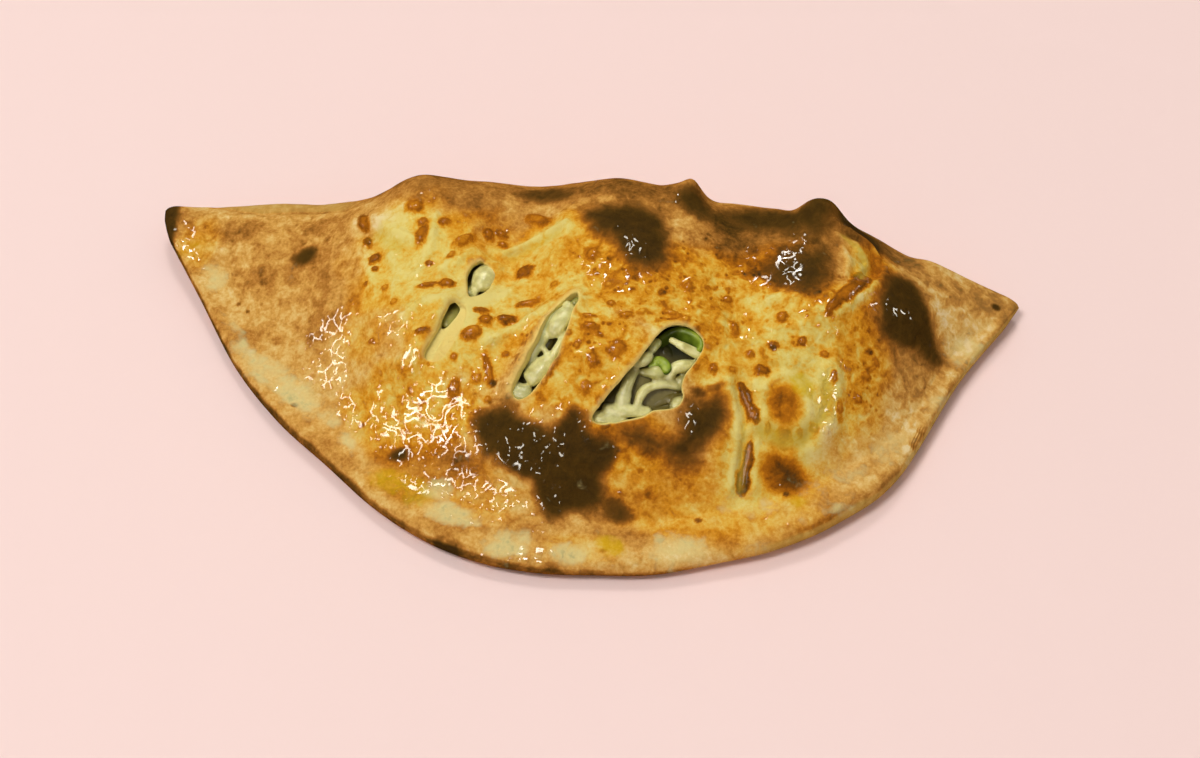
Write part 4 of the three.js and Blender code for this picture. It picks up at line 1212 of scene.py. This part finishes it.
# soft strands and lumps: x and y where each point shows and its depth below the skin, then half widths,
# flatness, and how green and how glassy it is
strands = [
    # the right slash, from its far end to the near one
    ([(33.2, -55.4, 2.6), (37, -56.6, 2.0), (40.6, -57.4, 1.9), (45, -58, 2.2)], [0.8, 1.05, 1.3, 1.5], 0.8,
     0, 0),
    ([(42.5, -60.6, 4.2), (39, -62.2, 2.9), (36.3, -63.4, 2.9), (35.2, -65.4, 3.4), (34.8, -67.6, 3.8)],
     [1.3, 1.7, 1.6, 1.2, 1.1], 0.85, 0, 0),
    ([(42, -63.6, 4.6), (39.2, -65.4, 3.8), (38, -67.4, 3.8), (37.6, -69.4, 4.6)], [1.4, 1.6, 1.6, 1.2],
     0.6, 0.35, 0),
    ([(42, -66.6, 5), (38, -68, 3.8), (33.8, -68.3, 3.5), (30, -69.5, 3.1), (27.3, -71.2, 2.8),
      (26, -74, 3), (25.4, -77.4, 3.8)], [0.9, 1.1, 1.2, 1.3, 1.35, 1.2, 1.1], 0.85, 0, 0),
    ([(24.4, -65.4, 4.4), (22.6, -69, 3.2), (21.7, -72, 3), (21.1, -74.8, 3.2), (20.8, -77.6, 4)],
     [1.2, 1.5, 1.75, 1.75, 1.4], 0.7, 0, 0.6),
    ([(28.4, -60.8, 3), (26.9, -62.8, 2.0), (25, -64.8, 2.8)], [1.1, 1.5, 1.1], 0.8, 0.1, 0.8),
    ([(30.6, -56.4, 4), (28.9, -58.6, 3.2), (27.4, -61, 4)], [1.1, 1.5, 1.1], 0.8, 0.6, 1),
    ([(28, -62.4, 4), (25.6, -63.4, 2.8), (23.4, -65.8, 3.6)], [1.3, 1.6, 1.3], 0.8, 0, 0.3),
    ([(25.4, -66.4, 5.2), (28, -66.2, 4.2), (31, -65.6, 3.8), (34.2, -64.6, 4.8)], [1.1, 1.7, 2.0, 1.3],
     0.75, 0.6, 0),
    ([(11, -79.2, 4), (14.6, -79.2, 2.5), (18.6, -79, 2.2), (23.4, -77.9, 2.8)], [1.4, 1.9, 1.9, 1.3], 0.6,
     0, 0.3),
    ([(15, -76.6, 3.6), (19, -76.8, 2.6), (24.4, -76.6, 2.1), (30.6, -75.6, 2.8)], [1.0, 1.4, 1.6, 1.4],
     0.6, 0, 0.25),
    ([(41, -70.4, 4.4), (38.2, -72.2, 2.9), (36.2, -74.2, 4)], [1.2, 1.7, 1.3], 0.8, 0, 0.2),
    ([(27, -75.5, 6.2), (31, -73.4, 5.8), (36, -70.8, 5.6), (41, -69, 6.2)], [1.6, 1.9, 1.9, 1.5], 0.6, 1,
     0.5),
    ([(30, -56, 7), (33, -59.5, 6.6), (37.5, -61.8, 6.6)], [1.6, 1.9, 1.6], 0.6, 1, 0.5),
    ([(16, -73, 7), (19, -75, 6.4), (22.5, -77, 6.4)], [1.5, 1.6, 1.5], 0.6, 0.8, 0.5),
    # the middle slash, from its far end to the near one
    ([(-1, -47.4, 2.2), (1.2, -49.2, 1.4), (3.6, -50.8, 2.2)], [0.9, 1.0, 0.9], 0.8, 0, 0),
    ([(1.6, -49.8, 2.4), (-0.6, -54, 2.0), (-2.4, -57.6, 2.2), (-3.4, -60.2, 2.8)], [1.7, 2.2, 2.0, 1.3],
     0.7, 0.05, 0.1),
    ([(-1.2, -49.4, 3.4), (-4.2, -55, 3), (-6.2, -60, 3), (-8.2, -64.2, 3.2), (-10.6, -68.6, 3.8)],
     [1.3, 1.8, 1.9, 1.6, 1.1], 0.7, 0.3, 1),
    ([(1.4, -57.6, 2.8), (0.2, -60.8, 2.1), (-1.2, -64, 2.3), (-3.4, -67.4, 3)], [0.9, 1.1, 1.2, 1.0], 0.8,
     0, 0.2),
    ([(-1.2, -63.6, 3), (-3.8, -66.8, 2.3), (-6.7, -69.5, 2.0), (-9.2, -71.6, 2.4)], [1.0, 2.1, 2.8, 2.6],
     0.6, 0.05, 0.1),
    ([(-6.8, -61.4, 3.4), (-4.2, -63.8, 2.4), (-1.8, -66.2, 2.8)], [0.7, 0.8, 0.7], 0.8, 0, 0.3),
    ([(2.2, -45.4, 4.4), (3, -47.6, 4), (3.4, -50, 4.6)], [1.4, 1.6, 1.4], 0.7, 0.9, 0.3),
    ([(-13.8, -72.2, 2.8), (-11.2, -74.4, 2.2), (-6.8, -74.4, 2.8)], [2.0, 2.3, 2.2], 0.7, 0.15, 1),
    ([(-12, -71, 6.0), (-7, -65, 5.4), (-3, -59, 5.4)], [1.6, 1.9, 1.8], 0.6, 0.8, 0.4),
    # the left slash
    ([(-27.9, -30.2, 3.2), (-28, -33.8, 2.5), (-28.4, -37.4, 2.4), (-29, -41.2, 3)], [2.3, 2.9, 2.8, 2.3],
     0.68, 0, 0),
    ([(-30.4, -40, 5.2), (-31.4, -43, 4.2), (-31.8, -46, 4.8)], [1.4, 1.7, 1.4], 0.7, 0.8, 0.3),
    ([(-34, -48, 5.6), (-36, -53, 4.4), (-38.4, -56.4, 3.8)], [1.5, 1.9, 1.6], 0.7, 0.9, 0.3),
    ([(-42, -55.5, 6.4), (-38, -51, 6), (-33, -44, 6), (-31, -37, 6)], [1.4, 1.6, 1.6, 1.6], 0.6, 0.9, 0.5),
]
slices = {
    "upper": {
        "node": "pepper_slice_upper", "middle": (36.4, -56.7), "depth": 2.0, "radius": 5.8, "start": -12,
        "sweep": 190, "shadeFrom": 0.42, "thick": 2.2, "high": 5.0, "tilt": 0.3, "wave": 0.25,
    },
    "lower": {
        "node": "pepper_slice_lower", "middle": (30.9, -63.9), "depth": 2.0, "radius": 1.9, "start": -40,
        "sweep": 230, "shadeFrom": 1.5, "thick": 3.7, "high": 4.0, "tilt": 0.25, "wave": 0.2,
    },
}
# the pepper's tones; dark is the tone of its painted shade
pepper = {
    "skin": (linear(84, 112, 14), linear(52, 74, 8)), "flesh": (linear(160, 176, 60), linear(118, 138, 30)),
    "dark": linear(40, 46, 8), "along": 70, "around": 28, "squareness": 0.7,
}


def sighted(points):
    # from where points show at the mouth of a slash, and their depth, to where they are
    x, y, depth = np.asarray(points, float).T
    return np.stack([x + sight[0] * depth, y + sight[1] * depth, crustHeights(x, y, False)[1] - depth], 1)


def pathThrough(points, count):
    # open Catmull-Rom curve through points, at equal steps between them
    p = np.vstack([2 * points[0] - points[1], points, 2 * points[-1] - points[-2]])
    s = np.linspace(0, len(points) - 1 - 1e-9, count)
    i = s.astype(int)
    return catmullRom(p[i], p[i + 1], p[i + 2], p[i + 3], (s - i)[:, None])


def strandRings(points, halfWidths, flat, seed):
    # an ellipse carried along the path, level across and flatter in height, its width wavering a little and
    # closing to both ends by a quarter circle
    count = filling["along"]
    path = pathThrough(sighted(points), count)
    width = filling["fatness"] * pathThrough(np.column_stack([halfWidths] * 2), count)[:, 0]
    step = np.gradient(path, axis=0)
    length = np.concatenate([[0], np.cumsum(np.linalg.norm(np.diff(path, axis=0), axis=1))])
    step /= np.linalg.norm(step, axis=1)[:, None]
    side = np.cross(step, [0, 0, 1.0])
    side /= np.linalg.norm(side, axis=1)[:, None]
    up = np.cross(side, step)
    closing = quarterRound(np.minimum(length, length[-1] - length) / width[0]) + 0.02
    waver = noise(length, 0 * length + 3.0 * seed, filling["waverSize"], seed)
    width = width * closing * (1 + filling["waver"] * waver)
    angle = np.linspace(0, 2 * np.pi, filling["around"], endpoint=False)
    ring = side[:, None] * np.cos(angle)[:, None] + flat * up[:, None] * np.sin(angle)[:, None]
    return path, path[:, None] + width[:, None, None] * ring


def moistFinish(name, look):
    # cheese, glassy and green by what is painted on it, with painted shade, olive to near black, where it is
    # sunk
    f = Finish(name)
    tone = f.noise(300, 3, 0.5)
    color = f.mix(tone.step(0.35, 0.7), look["light"], look["deep"])
    color = f.mix(f.read("glassy") * (0.35 + tone * 0.5), color, look["glassy"])
    color = f.mix(f.read("green") * (0.6 + tone * 0.4), color, look["green"])
    # painted shade: sunk says how much of it, shade how dark it is
    color = f.mix(f.read("sunk"), color, f.mix(f.read("shade"), *filling["shadeTones"]))
    normal = f.bump(f.noise(420, 2, 0.5), 0.0004)
    return f.surface(Base_Color=color, Roughness=look["roughness"], Normal=normal, Coat_Weight=0.12,
                     Coat_Roughness=0.15, Specular_IOR_Level=0.15, Subsurface_Weight=0.15,
                     Subsurface_Scale=0.002, Subsurface_Radius=(1.0, 0.8, 0.4))


def meltedStrands():
    # all strands as closed tubes, fused into one skin; each vertex takes the tint of the nearest strand
    paths, points, quads, tris = [], [], [], []
    for seed, (spots, widths, flat, green, glassy) in enumerate(strands):
        path, rings = strandRings(spots, widths, flat, 100 + seed)
        rows, ring, _ = rings.shape
        someQuads, someTris = ringGrid(rows, ring)
        start = sum(len(p) for p in points)
        points.append(np.vstack([rings.reshape(-1, 3), path[[0, -1]]]))
        quads.append(someQuads + start)
        tris.append(someTris + start)
        paths.append(path)
    piece = makeMesh("meltedStrands", np.vstack(points), np.vstack(quads), np.vstack(tris))
    fuse = piece.modifiers.new("fuse", "REMESH")
    fuse.mode, fuse.voxel_size, fuse.use_smooth_shade = "VOXEL", filling["voxel"] * 0.001, True
    soften = piece.modifiers.new("soften", "SMOOTH")
    soften.factor, soften.iterations = 0.5, filling["smoothing"]
    applyModifiers(piece)
    spots = pointsOf(piece)
    nearest, green, glassy = np.full(len(spots), 1e9), np.zeros(len(spots)), np.zeros(len(spots))
    for path, (_, widths, _, itsGreen, itsGlassy) in zip(paths, strands):
        away = np.linalg.norm(spots[:, None] - path[None, ::4], axis=2).min(1) - np.mean(widths)
        closer = away < nearest
        nearest = np.where(closer, away, nearest)
        green = np.where(closer, itsGreen, green)
        glassy = np.where(closer, itsGlassy, glassy)
    depth = crustHeights(spots[:, 0], spots[:, 1], False)[1] - spots[:, 2]
    paint(piece, "green", green)
    paint(piece, "glassy", glassy)
    # painted shade: the deeper a strand lies below the skin, the darker it is, and darkest in the dark
    # patches
    paint(piece, "sunk", smooth((depth - 2.6) / 3.6))
    paint(piece, "shade", patches(spots[:, 0], spots[:, 1], filling["dark"], 0.5))
    piece.data.materials.append(moistFinish("meltedCheese", filling["strandTones"]))
    piece.data.shade_smooth()
    claim(piece, "filling", slot="filling")
    print("strands:", len(piece.data.polygons), "faces")


def fillingCore():
    # the hollow's own shape, a little smaller, its top lower under the slashes and uneven by a noise
    def lowered(x, y):
        sunk = np.exp(-(np.maximum(slashDistance(x, y), 0) / filling["reach"]) ** 2)
        air = filling["airClosed"] + (filling["airOpen"] - filling["airClosed"]) * sunk
        return air + filling["lumps"] * fractal(x, y, 5, 81)

    core = hollowPiece("fillingCore", hollow["fillingGap"], lowered)
    spots = pointsOf(core)
    for name in ("green", "glassy"):  # waxing and waning
        paint(core, name, 0.4 + 0.4 * fractal(spots[:, 0], spots[:, 1], 6, 83))
    # painted shade: the core is painted almost wholly in the shade tones, darkest in the dark patches
    shade = patches(spots[:, 0], spots[:, 1], filling["dark"], 0.5)
    paint(core, "sunk", 0.85 + 0.15 * shade)
    paint(core, "shade", shade)
    core.data.materials.append(moistFinish("deepFilling", filling["coreTones"]))
    claim(core, "filling", slot="filling")


def pepperFinish():
    # dark skin on the outer side, paler flesh on the cut edges, and painted shade where it is sunk
    f = Finish("greenPepper")
    tone = f.noise(260, 3, 0.5).step(0.3, 0.7)
    skin, flesh = (f.mix(tone, *pepper[name]) for name in ("skin", "flesh"))
    color = f.mix(f.read("flesh"), skin, flesh)
    color = f.mix(f.read("sunk"), color, pepper["dark"])
    normal = f.bump(f.noise(350, 2, 0.5), 0.0003)
    return f.surface(Base_Color=color, Roughness=0.3, Normal=normal, Coat_Weight=0.04, Coat_Roughness=0.15,
                     Specular_IOR_Level=0.08)


def pepperSlice(cutting, finish):
    # a rounded upright band carried along an arc that wavers in and out and leans outwards
    t = np.linspace(0, 1, pepper["along"])
    angle = np.radians(cutting["start"] + cutting["sweep"] * t)
    radius = cutting["radius"] * (1 + 0.07 * np.sin(7 * t)) + cutting["wave"] * np.sin(13 * t)
    x0, y0, z0 = sighted([(*cutting["middle"], cutting["depth"])])[0]
    toEnd = np.minimum(t, 1 - t) * radius * np.radians(cutting["sweep"])
    closing = quarterRound(toEnd / (cutting["thick"] / 2)) + 0.02
    around = np.linspace(0, 2 * np.pi, pepper["around"], endpoint=False)
    c, s = np.cos(around), np.sin(around)
    out = closing[:, None] * cutting["thick"] / 2 * np.sign(c) * np.abs(c) ** pepper["squareness"]
    up = closing[:, None] * cutting["high"] / 2 * np.sign(s) * np.abs(s) ** pepper["squareness"]
    reach = radius[:, None] + out + cutting["tilt"] * up
    height = z0 - cutting["high"] / 2 + up + 0.3 * np.sin(5 * t)[:, None]
    rings = np.stack([x0 + reach * np.cos(angle)[:, None], y0 + reach * np.sin(angle)[:, None], height], -1)
    piece = ringedPiece(cutting["node"].replace("_s", "S"), rings, rings[[0, -1]].mean(1))
    flesh = np.clip(np.maximum(s, 0) ** 3 + 0.4 * np.maximum(-c, 0), 0, 1)
    paint(piece, "flesh", [*np.tile(flesh, len(t)), 0, 0])
    # painted shade: darker towards the slice's foot, and along its end from shadeFrom on, which lies in
    # shadow
    deep = (z0 - 0.4 * cutting["high"] - pointsOf(piece)[:, 2]) / (0.6 * cutting["high"])
    turned = [*np.repeat(smooth((t - cutting["shadeFrom"]) / 0.25), len(around)), 0, 1]
    paint(piece, "sunk", np.maximum(0.8 * smooth(deep), 0.7 * np.array(turned)))
    piece.data.materials.append(finish)
    claim(piece, cutting["node"], slot="pepper")


fillingCore()
meltedStrands()
greenFinish = pepperFinish()
for cutting in slices.values():
    pepperSlice(cutting, greenFinish)
print("filling and pepper done")

stage = {
    "azimuth": 7.387, "elevation": 55.0, "distance": 750.0, "lens": 70.12, "target": (11.3, -52.76, 15.0),
    "sensor": 36.0, "floorHalf": 3.0, "floorTone": linear(250, 221, 214), "floorShade": (0.9, 0.8, 0.75, 1),
    "worldTone": (1.0, 0.98, 0.95, 1.0), "worldStrength": 0.38,
    "lampDistance": 3.0, "lampTarget": (0, 0, 0.02), "glossTone": (1.0, 0.95, 0.84),
}
# azimuth and elevation, width and height in metres, power; the gloss lamps show only in what shines
lamps = {
    "key": (-50, 66, 0.84, 0.84, 44.0), "back": (-172, 57, 0.6, 0.45, 17.5),
    "glossBack": (-165, 61, 1.2, 1.3, 66.0), "glossFront": (-28, 36, 2.7, 1.2, 142.0),
    "glossLeft": (-76, 24, 2.3, 1.2, 121.0), "glossHigh": (-70, 60, 1.1, 0.7, 32.0),
    "glossRight": (48, 36, 1.3, 0.9, 50.0), "glossEdge": (116, 13, 1.0, 0.5, 22.0),
}


def direction(azimuth, elevation):
    # azimuth 0 is in front, 90 to the right
    a, e = np.radians([azimuth, elevation])
    return Vector((np.sin(a) * np.cos(e), -np.cos(a) * np.cos(e), np.sin(e)))


def aim(thing, spot):
    # turns the thing's own -Z to the spot
    thing.rotation_mode = "QUATERNION"
    thing.rotation_quaternion = (Vector(spot) - thing.location).to_track_quat("-Z", "Y")


def makeCamera():
    data = bpy.data.cameras.new("camera")
    data.lens, data.sensor_width = stage["lens"], stage["sensor"]
    camera = bpy.data.objects.new("camera", data)
    target = Vector(place(stage["target"]))
    camera.location = target + direction(stage["azimuth"], stage["elevation"]) * stage["distance"] * 0.001
    aim(camera, target)
    bpy.context.scene.collection.objects.link(camera)
    bpy.context.scene.camera = camera


def makeLamp(name, azimuth, elevation, width, height, power):
    data = bpy.data.lights.new(name, "AREA")
    data.shape, data.size, data.size_y, data.energy = "RECTANGLE", width, height, power
    lamp = bpy.data.objects.new(name, data)
    lamp.location = direction(azimuth, elevation) * stage["lampDistance"]
    aim(lamp, stage["lampTarget"])
    if name.startswith("gloss"):
        lamp.visible_diffuse = False
        data.color = stage["glossTone"]
    bpy.context.scene.collection.objects.link(lamp)


def makeFloor():
    half = stage["floorHalf"]
    mesh = bpy.data.meshes.new("floor")
    corners = [(-half, -half, 0), (half, -half, 0), (half, half, 0), (-half, half, 0)]
    mesh.from_pydata(corners, [], [(0, 1, 2, 3)])
    floor = bpy.data.objects.new("floor", mesh)
    f = Finish("paleFloor")
    color = f.mix(f.noise(3, 2, 0.5) * 0.03, stage["floorTone"], stage["floorShade"])
    mesh.materials.append(f.surface(Base_Color=color, Roughness=0.8, Specular_IOR_Level=0.0))
    bpy.context.scene.collection.objects.link(floor)


def makeWorld():
    world = bpy.data.worlds.new("studio")
    bpy.context.scene.world = world
    world.use_nodes = True
    background = world.node_tree.nodes["Background"]
    background.inputs["Color"].default_value = stage["worldTone"]
    background.inputs["Strength"].default_value = stage["worldStrength"]
    world.cycles_visibility.glossy = False  # gloss shows the lamps alone
    bpy.context.scene.view_settings.view_transform = "Standard"


makeCamera()
makeFloor()
makeWorld()
for name, values in lamps.items():
    makeLamp(name, *values)
print("camera, floor and lamps done")
